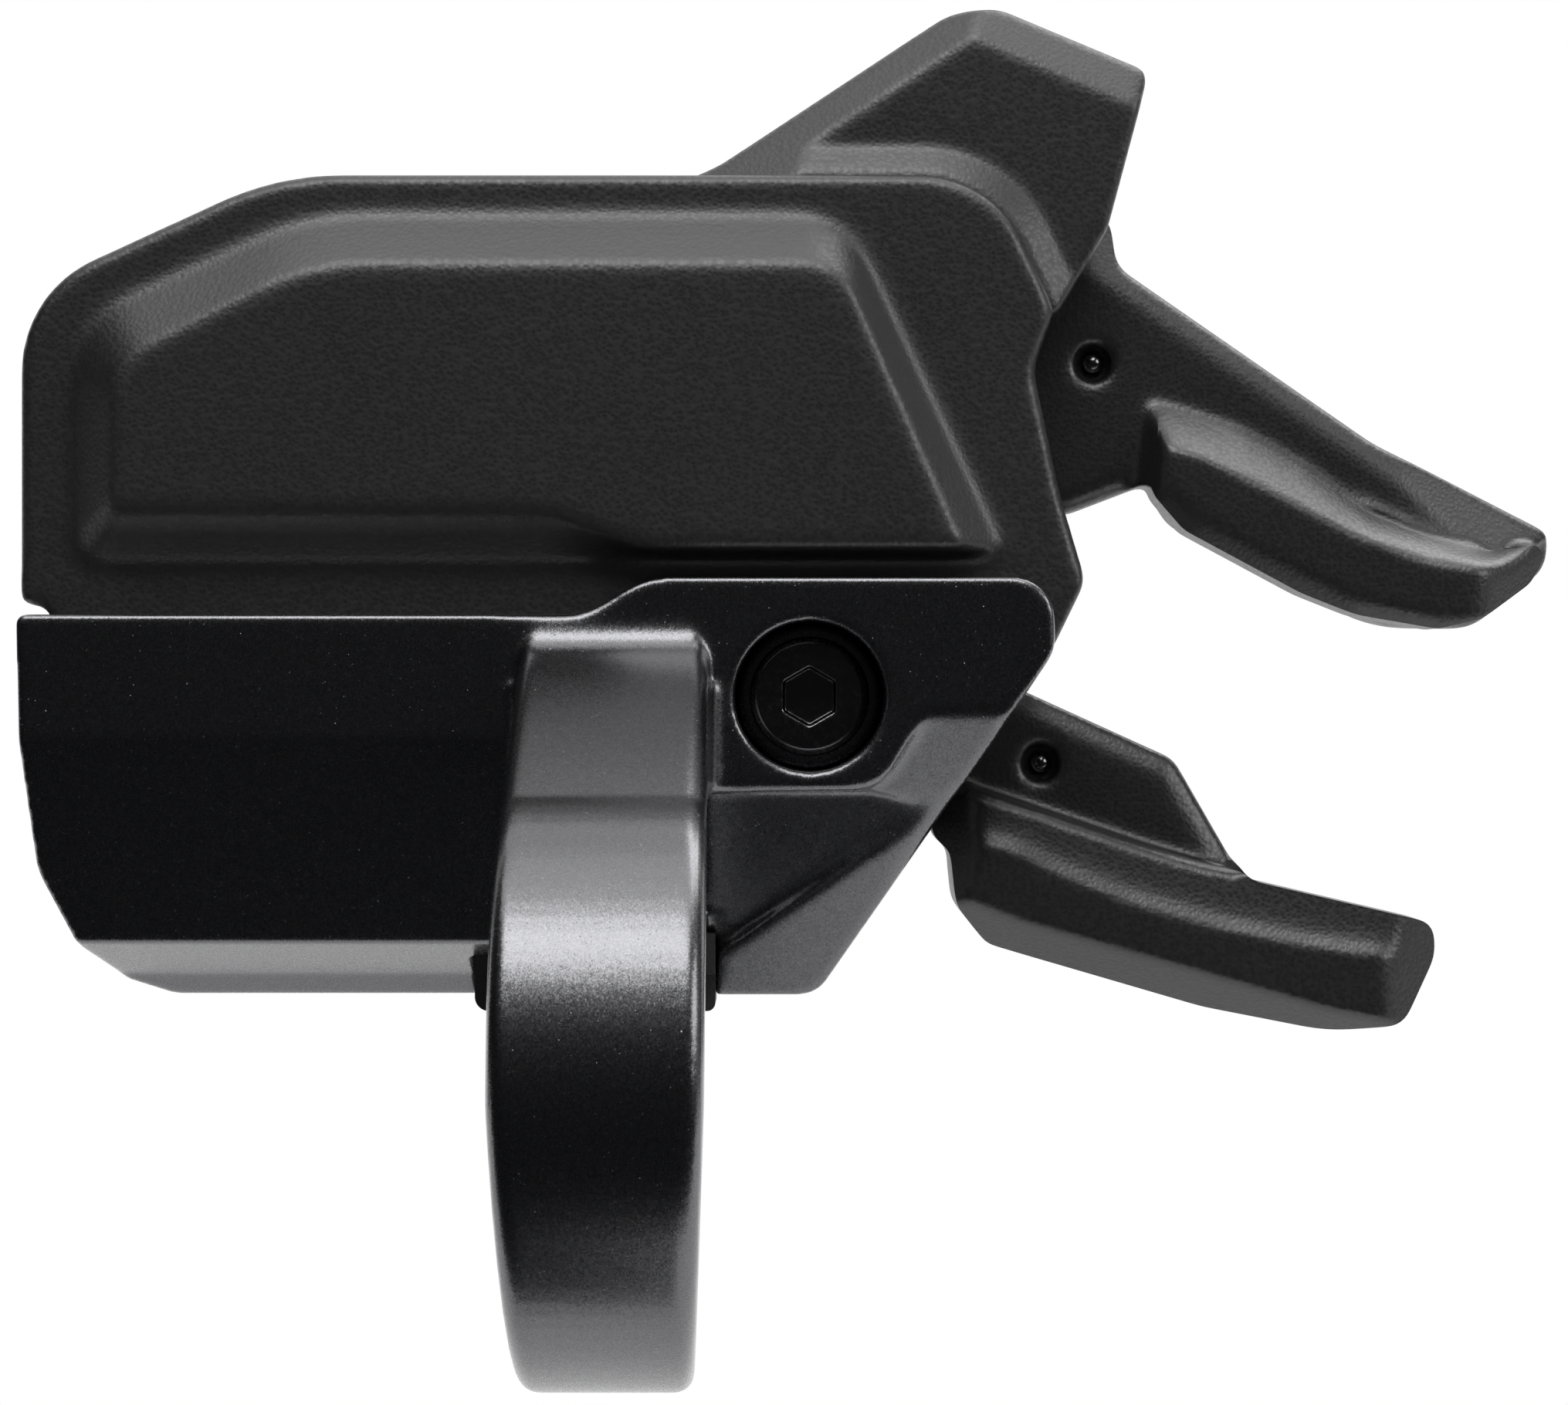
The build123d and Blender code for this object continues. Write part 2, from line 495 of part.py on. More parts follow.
def make_front_cover():
    """Shell with the raised plateau, open at the back."""
    upper = prism(window(-FAR, 22.0, FAR, FAR), RIM_FRONT, PARTING)
    rim = upper.faces().sort_by(Axis.Y)[0].edges().filter_by_position(Axis.Z, 22.5, FAR)
    upper = softened(upper, rim, 0.9, 0.7, 0.55, 0.35)
    cover = upper - cylinder(UNIT_X, UNIT_Z, BOSS_R, 0, BOSS_BACK)
    cover += make_tray_nest() + make_plateau()

    inside = offset(FULL_FACE, -WALL, kind=Kind.INTERSECTION)
    open_left = Pos(SPLIT_X - WALL - FAR / 2, 0) * Rectangle(FAR, 2 * FAR)
    open_top = Pos(0, 22.6 + FAR / 2) * Rectangle(2 * FAR, FAR)
    cavity = prism(inside & (open_left + open_top), RIM_FRONT + WALL, PARTING)
    cavity -= tilted_back(PLATE_BACK - PLATE_FRONT + WALL)
    cavity += prism(offset(outline(*PLATEAU_INNER), -0.6), PLATEAU_FRONT + WALL, RIM_FRONT + WALL)
    cavity -= [cylinder(x, z, SCREW_BOSS_R, 0, BOARD_FRONT) for x, z in HOUSING_SCREWS]
    cavity -= cylinder(*UPPER_PIVOT, PIN_BOSS_R, 0, BOARD_FRONT - 0.1)
    cover -= cavity
    cover -= swept_room(PADDLE_OUTLINE, PADDLE_PIVOT, PADDLE_TRAVEL, RIM_FRONT + WALL, PARTING)

    cover = drilled(cover, HOUSING_SCREWS, SCREW_R, 13.4, PARTING)
    cover -= cylinder(*UPPER_PIVOT, PIN_R, PIN_START_UPPER, PARTING)
    cover -= cylinder(*LOWER_PIVOT, PIN_R, PIN_START_LOWER, PARTING)
    cover -= cylinder(*PADDLE_PIVOT, PADDLE_PIN_R, PIN_START_PADDLE, PARTING)
    cover -= cylinder(UNIT_X, UNIT_Z, M4_CLEAR_R, 0, PARTING)
    return cover - make_unit_nut() - cylinder(UNIT_X, UNIT_Z, NUT_FLANGE_R, UNIT_NUT_BACK - 0.1, PARTING)


def make_rear_housing():
    """Back shell with the battery well, screw bosses and the levers' openings."""
    shell = prism(FULL_FACE, PARTING, HOUSING_BACK)
    shell = softened(shell, shell.faces().sort_by(Axis.Y)[-1].edges(), 1.2, 0.8, 0.4)
    cavity = prism(offset(FULL_FACE, -WALL, kind=Kind.INTERSECTION), PARTING, HOUSING_BACK - WALL)
    cavity -= cylinder(CELL_X, CELL_Z, CAP_R + WELL_WALL, WELL_FRONT, FAR)
    cavity -= [cylinder(x, z, SCREW_BOSS_R, 0, FAR) for x, z in HOUSING_SCREWS]
    for pivot in (UPPER_PIVOT, LOWER_PIVOT):
        cavity -= cylinder(*pivot, PIN_BOSS_R, SPRING_BACK, FAR)
    cavity -= cylinder(*PADDLE_PIVOT, PIN_BOSS_R, PADDLE_PIN_END - 0.7, FAR)
    shell -= cavity
    within = offset(FULL_FACE, -WALL - 0.05, kind=Kind.INTERSECTION)
    bosses = [within & (Pos(x, z) * Circle(SCREW_BOSS_R)) for x, z in HOUSING_SCREWS]
    shell += [prism(boss, BOARD_BACK, PARTING + 0.1) for boss in bosses]

    shell -= swept_room(UPPER_ROOT, UPPER_PIVOT, UPPER_TRAVEL, PARTING, LEVER_BACK + CLEAR)
    shell -= swept_room(LOWER_ROOT, LOWER_PIVOT, LOWER_TRAVEL, PARTING, LEVER_BACK + CLEAR)
    shell -= cylinder(CELL_X, CELL_Z, CELL_R + 0.35, CELL_FRONT - LEAF, FAR)
    shell -= cylinder(CELL_X, CELL_Z, CAP_R, CAP_SEAT, FAR)
    shell -= prism(Pos(CELL_X + 4, CELL_Z) * Rectangle(1.6, 2.4), PARTING, CELL_FRONT)
    shell -= prism(Pos(CELL_X + CELL_R + 0.1, CELL_Z) * Rectangle(0.5, 3.2), PARTING, CELL_FRONT)
    shell = drilled(shell, HOUSING_SCREWS, SCREW_R + 0.1, 0, FAR)
    shell = drilled(shell, HOUSING_SCREWS, SCREW_HEAD_R + 0.15, SCREW_SEAT, FAR)
    for pivot in (UPPER_PIVOT, LOWER_PIVOT):
        shell -= cylinder(*pivot, SPRING_ROOM_R, PARTING, SPRING_BACK)
        shell -= cylinder(*pivot, PIN_R, PARTING, PIN_END)
    return shell - cylinder(*PADDLE_PIVOT, PADDLE_PIN_R, PARTING, PADDLE_PIN_END)


def make_housing_screws():
    """Five screws from the back, each with a cross recess."""
    one = cylinder(0, 0, SCREW_HEAD_R, SCREW_SEAT, HOUSING_BACK - 0.1)
    one = chamfer(one.edges().filter_by(GeomType.CIRCLE).sort_by(Axis.Y)[-1], 0.2)
    one += cylinder(0, 0, SCREW_R, 13.6, SCREW_SEAT)
    cross = Rectangle(2.0, 0.45) + Rectangle(0.45, 2.0)
    one -= prism(cross, HOUSING_BACK - 0.75, HOUSING_BACK)
    return Compound(children=[Pos(x, 0, z) * one for x, z in HOUSING_SCREWS])


def make_lever_arm(pivot, screw, tail):
    """Pressed steel arm: hub, a strip out to the thumb paddle and a tail that presses the switch."""
    plate = link(pivot, HUB_R, screw, ARM_END_R) + link(pivot, HUB_R, tail, TAIL_R)
    arm = prism(plate, ARM_FRONT, LEVER_BACK)
    return arm - cylinder(*pivot, BUSH_R, 0, FAR) - cylinder(*screw, PADDLE_SCREW_R, 0, FAR)


def make_bush(pivot):
    sleeve = cylinder(*pivot, BUSH_R, ARM_FRONT, LEVER_BACK)
    collar = cylinder(*pivot, BUSH_R + 0.3, ARM_FRONT - 0.4, ARM_FRONT)
    return sleeve + collar - cylinder(*pivot, PIN_R + RUNNING, 0, FAR)


def make_paddle_screw(screw):
    """Screw from behind, with a rounded tip that shows in the paddle's recess."""
    shank = cylinder(*screw, PADDLE_SCREW_R, LEVER_FRONT + PADDLE_SCREW_TIP, LEVER_BACK)
    tip = Pos(screw[0], LEVER_FRONT + PADDLE_SCREW_TIP, screw[1]) * Sphere(PADDLE_SCREW_R)
    head = cylinder(*screw, PADDLE_HEAD_R, LEVER_BACK, LEVER_BACK + PADDLE_HEAD)
    head = chamfer(head.edges().filter_by(GeomType.CIRCLE).sort_by(Axis.Y)[-1], 0.25)
    head_back = (screw[0], LEVER_BACK + PADDLE_HEAD, screw[1])
    socket = Plane(origin=head_back, x_dir=(1, 0, 0), z_dir=(0, -1, 0))
    return shank + tip + head - socket * hex_socket(1.5, 0.6)


def make_pin(pivot, radius, start, end):
    pin = cylinder(*pivot, radius, start, end)
    return chamfer(pin.edges().filter_by(GeomType.CIRCLE), 0.15)


def make_thumb_paddle(plate, plate_face, pad_face, pad_front, cuts, screw, arm):
    """Flat root plate that grows into a deep pad, hollowed at the back for the steel arm."""
    pad = prism(plate_face & pad_face, pad_front, PAD_BACK)
    for cut in cuts:
        pad -= cut
    paddle = plate + pad
    paddle -= cylinder(*screw, RECESS_R, 0, LEVER_FRONT + RECESS_DEPTH)
    paddle -= cylinder(*screw, PADDLE_SCREW_R, 0, LEVER_BACK)
    return paddle - arm


def bevel(depth, start, end, crest, crest_depth, outside):
    """Slanted cut from an edge at one depth up to a point on the pad's crest; points are (x, z)."""
    return beyond((start[0], depth, start[1]), (end[0], depth, end[1]),
                  (crest[0], crest_depth, crest[1]), outside)


def make_upper_thumb_paddle(arm):
    pad_start, pad_tip, crest = (27.0, 32.4), (42.3, 25.4), (34.0, 27.2)
    pad_face = outline(
        (26.85, 32.5, 0.3), (31.6, 30.6, 6.0), (36.9, 28.1, 12.0), (*pad_tip, 1.0), (47.5, 26.9, 0),
        (48.0, 20.0, 0), (29.0, 20.0, 0), (26.2, 26.5, 0), (26.6, 28.7, 0),
    )
    ridge_start, ridge_end, ridge_back = (37.5, 30.7), (42.6, 25.4), (46.5, 19.0, 26.5)
    facet_low = (41.0, 22.0)
    nose_front, nose_back = (46.3, 17.6, 25.8), (46.3, 19.4, 25.8)
    cuts = [
        bevel(LEVER_FRONT, pad_start, pad_tip, crest, UPPER_PAD_FRONT, (40, 0, FAR)),
        bevel(LEVER_BACK, pad_start, pad_tip, crest, PAD_BACK, (40, FAR, FAR)),
        beyond((pad_tip[0], UPPER_PAD_FRONT, pad_tip[1]), (facet_low[0], UPPER_PAD_FRONT, facet_low[1]),
               nose_front, (FAR, 0, 20)),
        beyond((pad_tip[0], PAD_BACK, pad_tip[1]), (facet_low[0], PAD_BACK, facet_low[1]),
               nose_back, (FAR, FAR, 20)),
    ]
    plate = prism(UPPER_OUTLINE, LEVER_FRONT, LEVER_BACK)
    plate = softened(plate, plate.faces().sort_by(Axis.Y)[0].edges(), PLATE_ROUND, 0.7, 0.45)
    paddle = make_thumb_paddle(plate, UPPER_OUTLINE, pad_face, UPPER_PAD_FRONT, cuts, UPPER_SCREW, arm)
    paddle -= beyond((ridge_start[0], LEVER_FRONT, ridge_start[1]),
                     (ridge_end[0], LEVER_FRONT, ridge_end[1]), ridge_back, (FAR, 0, 40))
    low_edge = (UPPER_OUTLINE - offset(UPPER_OUTLINE, -LIP)) & (Pos(37.0, 22.0) * Rectangle(21.0, 7.6))
    return paddle - prism(low_edge, 0, LIP_FRONT)


def make_lower_thumb_paddle(arm):
    pad_start, pad_bend, crest = (18.3, 13.25), (29.5, 9.5), (25.1, 7.8)
    end_start, end_tip, end_crest = (29.5, 9.4), (40.2, 7.0), (34.0, 5.7)
    pad_face = outline(
        (16.0, 13.9, 0), (*pad_start, 0), (26.2, 10.55, 6.0), (29.8, 9.5, 1.0), (41.5, 7.4, 0),
        (42.0, 0, 0), (15.0, 0, 0), (15.0, 13.0, 0),
    )
    keel_start, keel_end, keel_edge = (17.0, 8.2), (37.6, 2.4), (29.0, 2.8)
    nose_x, nose_edge = 37.6, (40.3, 14.9, 5.0)
    left_top, left_low, left_back = (17.8, 10.5), (17.0, 7.0), (16.2, 8.5)
    top_start, corner, side_end = (18.8, 18.85), (27.6, 14.85), (31.0, 8.95)
    top_inner, side_inner = (22.77, 15.9), (28.39, 11.38)
    plate_low = LEVER_FRONT + PLATE_BEVEL
    cuts = [
        bevel(LOWER_STEP_FRONT, pad_start, pad_bend, crest, LOWER_PAD_FRONT, (20, 0, FAR)),
        bevel(LOWER_STEP_FRONT, end_start, end_tip, end_crest, LOWER_PAD_FRONT, (40, 0, FAR)),
        bevel(LEVER_BACK, pad_start, pad_bend, crest, PAD_BACK, (20, FAR, FAR)),
        bevel(LEVER_BACK, end_start, end_tip, end_crest, PAD_BACK, (40, FAR, FAR)),
        bevel(LOWER_PAD_FRONT, keel_start, keel_end, keel_edge, LOWER_PAD_FRONT + 2.4, (20, 0, -FAR)),
        beyond((nose_x, LOWER_PAD_FRONT, 5.2), (nose_x, LOWER_PAD_FRONT, 2.0), nose_edge, (FAR, 0, 4)),
        bevel(LOWER_PAD_FRONT, left_top, left_low, left_back, LOWER_PAD_FRONT + 1.6, (-FAR, 0, 8)),
        prism(offset(outline(*BRACKET_OUTLINE), BRACKET_GAP), 0, PARTING + CLEAR),
    ]
    plate = prism(LOWER_OUTLINE, LEVER_FRONT, LEVER_BACK)
    plate -= bevel(plate_low, top_start, corner, top_inner, LEVER_FRONT, (20, 0, FAR))
    plate -= bevel(plate_low, corner, side_end, side_inner, LEVER_FRONT, (FAR, 0, 15))
    return make_thumb_paddle(plate, LOWER_OUTLINE, pad_face, LOWER_PAD_FRONT, cuts, LOWER_SCREW, arm)


def make_function_paddle():
    """Flat paddle with two bevelled edges and a raised collar that runs beside the cover."""
    paddle = prism(PADDLE_OUTLINE, PADDLE_FACE, PADDLE_BACK)
    beside_cover = offset(FULL_FACE, COLLAR_WIDTH)
    collar = prism(beside_cover & PADDLE_OUTLINE, PADDLE_COLLAR, PADDLE_FACE)
    collar_face = collar.faces().sort_by(Axis.Y)[0]
    ridge = [
        edge for edge in collar_face.edges()
        if Vertex((edge @ 0.5).X, (edge @ 0.5).Z, 0).distance_to(FULL_FACE) > COLLAR_WIDTH - 0.2
    ]
    collar_rise = PADDLE_FACE - PADDLE_COLLAR - 0.1
    paddle += chamfer(ridge, COLLAR_SLOPE, collar_rise, reference=collar_face)
    left_bevel = beyond((5.66, 14.7, 44.53), (15.28, 14.7, 50.81), (9.1, PADDLE_FACE, 44.75), (5, 0, 50))
    top_bevel = beyond((19.3, 14.4, 51.5), (25.8, 14.4, 48.8), (21.0, PADDLE_FACE, 48.75), (22, 0, 60))
    paddle = paddle - left_bevel - top_bevel
    return paddle - cylinder(*PADDLE_PIVOT, PADDLE_PIN_R + RUNNING, 0, FAR)


def make_circuit_board():
    """Board cut round the unit bolt's boss, the index paddle's tongue and the screws."""
    inside = offset(FULL_FACE, -WALL - 0.4, kind=Kind.INTERSECTION)
    left = Pos(1.5 - FAR / 2, 0) * Rectangle(FAR, 2 * FAR)
    right = Pos(FAR / 2, 23.2 + 6.3) * Rectangle(FAR, 12.6)
    board = prism(inside & (left + right), BOARD_FRONT, BOARD_BACK)
    board -= prism(offset(PADDLE_OUTLINE, 0.9), 0, FAR)
    board = drilled(board, HOUSING_SCREWS, SCREW_R + 0.2, 0, FAR)
    return board - cylinder(*UPPER_PIVOT, PIN_BOSS_R + 0.3, 0, FAR)


def make_radio_module():
    """Shielding can over the radio, on the front of the board."""
    width, depth, height = 10.0, 1.9, 7.6
    can = Pos(-14.8, BOARD_FRONT - depth / 2, 31.0) * Box(width, depth, height)
    return chamfer(can.edges().filter_by(Axis.Y) + can.faces().sort_by(Axis.Y)[0].edges(), 0.3)


def make_switch(x, body_low, body_top, front, back, plunger_top, plunger_depth):
    """Small press switch: square body, plunger on top under the lever's tail."""
    height = body_top - body_low
    middle = Pos(x, (front + back) / 2, (body_low + body_top) / 2)
    body = middle * Box(SWITCH_WIDTH, back - front, height)
    body = chamfer(body.edges().filter_by(Axis.Z), 0.3)
    rise = plunger_top - body_top
    standing = (Align.CENTER, Align.CENTER, Align.MIN)
    return body + Pos(x, plunger_depth, body_top) * Cylinder(PLUNGER_R, rise, align=standing)


def make_flex_circuit():
    """Thin strip from the board to the lower switch, folded at its left end."""
    strip = Pos(4.0, 13.2) * Rectangle(9.0, 1.2)
    drop = Pos(7.8, 11.45) * Rectangle(1.4, 4.7)
    pad = Pos(8.3, 9.9) * Rectangle(4.0, 1.6)
    flat = prism(strip + drop + pad, PARTING, PARTING + FLEX)
    fold = Pos(-0.4, (BOARD_BACK + PARTING + FLEX) / 2, 13.2) * Box(0.2, PARTING + FLEX - BOARD_BACK, 1.2)
    return flat + fold


def make_coin_cell():
    """Can with a rounded rim, and the smaller face on its front side."""
    can = cylinder(CELL_X, CELL_Z, CELL_R, CELL_FRONT + 0.25, CELL_BACK)
    can = fillet(can.edges().filter_by(GeomType.CIRCLE).sort_by(Axis.Y)[-1], 0.3)
    return can + cylinder(CELL_X, CELL_Z, CELL_R - 1.1, CELL_FRONT, CELL_FRONT + 0.25)


def make_base_contact():
    """Leaf under the cell with a leg down to the board."""
    leaf = prism(Pos(CELL_X, CELL_Z) * SlotOverall(12.0, 3.0), CELL_FRONT - LEAF, CELL_FRONT)
    leg_depth = CELL_FRONT - BOARD_BACK
    return leaf + Pos(CELL_X + 4, BOARD_BACK + leg_depth / 2, CELL_Z) * Box(0.3, leg_depth, 1.6)


def make_side_contact():
    """Curved leaf against the cell's side, with a leg down to the board."""
    ring = Pos(CELL_X, CELL_Z) * (Circle(CELL_R + 0.27) - Circle(CELL_R + 0.03))
    sector = Pos(CELL_X + CELL_R, CELL_Z) * Rectangle(3.0, 6.4)
    leaf = prism(ring & sector, CELL_FRONT + 0.4, CELL_BACK - 0.4)
    leg = Pos(CELL_X + CELL_R, CELL_Z) * Rectangle(3.0, 1.8)
    return leaf + prism(ring & leg, BOARD_BACK, CELL_FRONT + 0.4)


def make_battery_cover():
    """Round cap with a coin slot and a stepped edge above its seal."""
    cap = cylinder(CELL_X, CELL_Z, CAP_R - CAP_PLAY, CAP_SEAT + SEAL, HOUSING_BACK + 0.2)
    cap = chamfer(cap.edges().filter_by(GeomType.CIRCLE).sort_by(Axis.Y)[-1], 0.5)
    coin_slot = Pos(CELL_X, CELL_Z) * Rot(0, 0, 35) * SlotOverall(12.0, 1.9)
    slot = prism(coin_slot, HOUSING_BACK - 0.6, FAR)
    spigot = cylinder(CELL_X, CELL_Z, CELL_R + 0.2, CELL_BACK + 0.02, CAP_SEAT + SEAL)
    return cap + spigot - slot


def make_battery_cover_seal():
    ring = cylinder(CELL_X, CELL_Z, CAP_R - CAP_PLAY, CAP_SEAT, CAP_SEAT + SEAL)
    return ring - cylinder(CELL_X, CELL_Z, CELL_R + 0.4, 0, FAR)


def make_return_spring(pivot, front, coil_r, turns, leg):
    """Torsion spring round a pivot pin, with one straight leg to the housing's wall."""
    height = turns * SPRING_PITCH
    helix = Helix(SPRING_PITCH, height, coil_r, center=(pivot[0], front, pivot[1]), direction=(0, 1, 0))
    coil = sweep(Plane(origin=helix @ 0, z_dir=helix % 0) * Circle(SPRING_WIRE_R), path=helix)
    end, way = helix @ 1, helix % 1
    return coil + Plane(origin=end, z_dir=way) * Cylinder(
        SPRING_WIRE_R, leg, align=(Align.CENTER, Align.CENTER, Align.MIN))


def make_parts():
    upper_arm = make_lever_arm(UPPER_PIVOT, UPPER_SCREW, UPPER_TAIL)
    lower_arm = make_lever_arm(LOWER_PIVOT, LOWER_SCREW, LOWER_TAIL)
    return {
        "clamp_bracket": make_clamp_bracket(),
        "clamp_bolt": make_clamp_bolt(),
        "clamp_nut": make_clamp_nut(),
        "unit_bolt": make_unit_bolt(),
        "unit_nut": make_unit_nut(),
        "front_cover": make_front_cover(),
        "rear_housing": make_rear_housing(),
        "housing_screws": make_housing_screws(),
        "circuit_board": make_circuit_board(),
        "radio_module": make_radio_module(),
        "flex_circuit": make_flex_circuit(),
        "upper_switch": make_switch(UPPER_TAIL[0], 28.7, 31.2, BOARD_BACK, SWITCH_BACK, 31.9, 19.15),
        "lower_switch": make_switch(LOWER_TAIL[0], 9.1, 10.7, PARTING + FLEX, SWITCH_BACK, 11.4, 19.15),
        "function_switch": make_switch(10.5, 35.2, 36.8, BOARD_FRONT - 2.2, BOARD_FRONT, 37.55, 13.3),
        "coin_cell": make_coin_cell(),
        "base_contact": make_base_contact(),
        "side_contact": make_side_contact(),
        "battery_cover": make_battery_cover(),
        "battery_cover_seal": make_battery_cover_seal(),
        "upper_pivot_pin": make_pin(UPPER_PIVOT, PIN_R, PIN_START_UPPER, PIN_END),
        "lower_pivot_pin": make_pin(LOWER_PIVOT, PIN_R, PIN_START_LOWER, PIN_END),
        "function_pivot_pin": make_pin(PADDLE_PIVOT, PADDLE_PIN_R, PIN_START_PADDLE, PADDLE_PIN_END),
        "upper_return_spring": make_return_spring(UPPER_PIVOT, 20.45, 1.25, 2.75, 3.2),
        "lower_return_spring": make_return_spring(LOWER_PIVOT, 20.45, 1.25, 2.75, 2.4),
        "function_return_spring": make_return_spring(PADDLE_PIVOT, 16.25, 1.15, 2.25, 3.4),
        "upper_lever_arm": upper_arm,
        "upper_bush": make_bush(UPPER_PIVOT),
        "upper_thumb_paddle": make_upper_thumb_paddle(upper_arm),
        "upper_paddle_screw": make_paddle_screw(UPPER_SCREW),
        "lower_lever_arm": lower_arm,
        "lower_bush": make_bush(LOWER_PIVOT),
        "lower_thumb_paddle": make_lower_thumb_paddle(lower_arm),
        "lower_paddle_screw": make_paddle_screw(LOWER_SCREW),
        "function_paddle": make_function_paddle(),
    }


os.makedirs("parts", exist_ok=True)
for name, solid in make_parts().items():
    export_step(solid, "parts/" + name + ".step")
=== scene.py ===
import json
import math

import bmesh
import bpy
import numpy as np
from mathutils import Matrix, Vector


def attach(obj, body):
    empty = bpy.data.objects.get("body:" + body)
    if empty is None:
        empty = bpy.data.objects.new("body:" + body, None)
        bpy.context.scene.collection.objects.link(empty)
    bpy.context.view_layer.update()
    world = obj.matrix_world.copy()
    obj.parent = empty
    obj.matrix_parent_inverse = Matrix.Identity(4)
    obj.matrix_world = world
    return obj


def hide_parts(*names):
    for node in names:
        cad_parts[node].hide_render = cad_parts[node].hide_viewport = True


# Looks for the trigger gear shifter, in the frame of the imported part: +X along the handlebar, +Y away
# from the camera, +Z up from the bar to the housing. Blender's lengths are in metres. Shape lines and
# depths of the part are written in mm.

MM = 0.001

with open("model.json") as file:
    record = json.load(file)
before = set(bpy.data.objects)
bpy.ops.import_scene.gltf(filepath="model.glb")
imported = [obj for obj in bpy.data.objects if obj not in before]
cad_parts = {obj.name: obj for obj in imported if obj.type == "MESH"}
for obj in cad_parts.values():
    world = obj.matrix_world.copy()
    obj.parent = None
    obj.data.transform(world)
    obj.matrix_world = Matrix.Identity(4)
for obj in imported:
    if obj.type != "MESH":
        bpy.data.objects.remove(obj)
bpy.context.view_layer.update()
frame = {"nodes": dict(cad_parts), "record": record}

# Camera, at the photograph's place
CAMERA_AT = (8.27 * MM, -230 * MM, 17.7 * MM)
LENS, SENSOR = 114.15, 36.0

# Table top and backdrop
FLOOR_Z = -60 * MM
FLOOR_FRONT, FLOOR_BACK, FLOOR_SIDE = -0.016, 0.55, 0.9
CARD_FRONT, CARD_LEFT = -0.058, 0.0045
COVE_RADIUS, COVE_TOP, COVE_STEPS = 0.25, 1.1, 12
FRONT_SHEET_DROP = 0.05 * MM           # keeps the front sheet clear of the card
COVE_WHITE, COVE_ROUGH, COVE_SHINE = 0.88, 0.7, 0.1
WHITE_NEAR, WHITE_FAR = 0.12, 0.3      # distances between which the floor turns into plain background
DIM_LIGHT, DIM_STRENGTH = (0.9, 0.92, 1.0), 0.02

# Lamps
LIT_POINT = (0, 0, 0.02)
LAMP_DISTANCE = 0.5

VOXEL_SCALE = 1.0
PASS_DIVISOR = 1

# Lips and hollows of the bracket that are rounder than its other edges, as (x, y, z) points
RIDGE_PATH = [(5.0, 8.2, 12.2), (6.3, 8.0, 13.4), (12.9, 8.0, 13.5), (14.7, 8.0, 17.1), (19.5, 8.0, 17.2)]
POCKET_PATH = [(15.6, 10.5, 12.2), (11.8, 12.0, 10.0), (5.2, 14.5, 5.8)]
NECK_PATH = [(-4.6, 6.6, 18.0), (-4.6, 7.8, 21.8), (0.0, 7.8, 21.8), (4.9, 7.8, 21.8), (4.9, 6.6, 18.0)]

# Depths of the thumb paddles' front faces
PLATE_FACE, UPPER_FACE, LOWER_FACE = 16.5, 14.0, 13.0
PAD_DEPTH, CUT_DEPTH = 1.2, 3.0        # points up to here behind the plate's face can be moved

# Upper paddle: lines as (x, z) points that run to the right
UPPER_CREST = [
    (22.0, 31.0), (27.1, 30.2), (28.7, 29.75), (32.1, 28.1), (36.2, 26.0), (40.0, 24.75), (42.9, 24.4),
    (50.0, 24.0),
]
UPPER_FACET_TOP = [
    (22.0, 33.6), (27.2, 32.5), (30.8, 31.3), (33.9, 29.6), (37.4, 27.25), (40.3, 26.05), (42.6, 25.35),
    (43.3, 25.05), (45.4, 25.6), (50.0, 27.2),
]
UPPER_LIP = [
    (22.0, 30.4), (27.0, 28.4), (28.4, 26.9), (32.1, 24.85), (36.2, 22.75), (40.6, 21.85), (42.0, 22.0),
    (50.0, 26.9),
]
UPPER_EDGE_LINE = [(25.0, 37.45), (33.6, 31.5)]
UPPER_RIDGE_LINE = [(36.7, 29.78), (41.95, 24.66)]
UPPER_PAD_LEFT = 25.3
UPPER_LEFT_FOOT, UPPER_LEFT_LEAN, UPPER_LEFT_SLOPE = (27.0, 30.0), 0.1, 2.4
UPPER_NOSE_FOOT, UPPER_NOSE_LEAN, UPPER_NOSE_SLOPE = (42.5, 22.0), 0.1, 1.0
UPPER_BEAD_SLOPE = 0.8
UPPER_LEFT_ROUND, UPPER_NOSE_ROUND, UPPER_BEAD_ROUND = 0.25, 0.3, 0.12
LEAST_FACET = 0.05
EDGE_RADIUS, EDGE_TILT = 1.9, math.radians(31)

# Block that closes the parting lip along the upper paddle's lower edge: outline, front and back
UPPER_BOTTOM = [
    (26.4, 28.05), (28.0, 26.22), (33.75, 23.13), (36.4, 22.08), (40.4, 21.38), (42.55, 21.87),
    (45.25, 23.65), (45.95, 24.75), (45.8, 25.5), (42.0, 25.0), (33.0, 28.5), (28.5, 29.5),
]
UPPER_FILL = (UPPER_BOTTOM, UPPER_FACE + 0.2, 19.3)

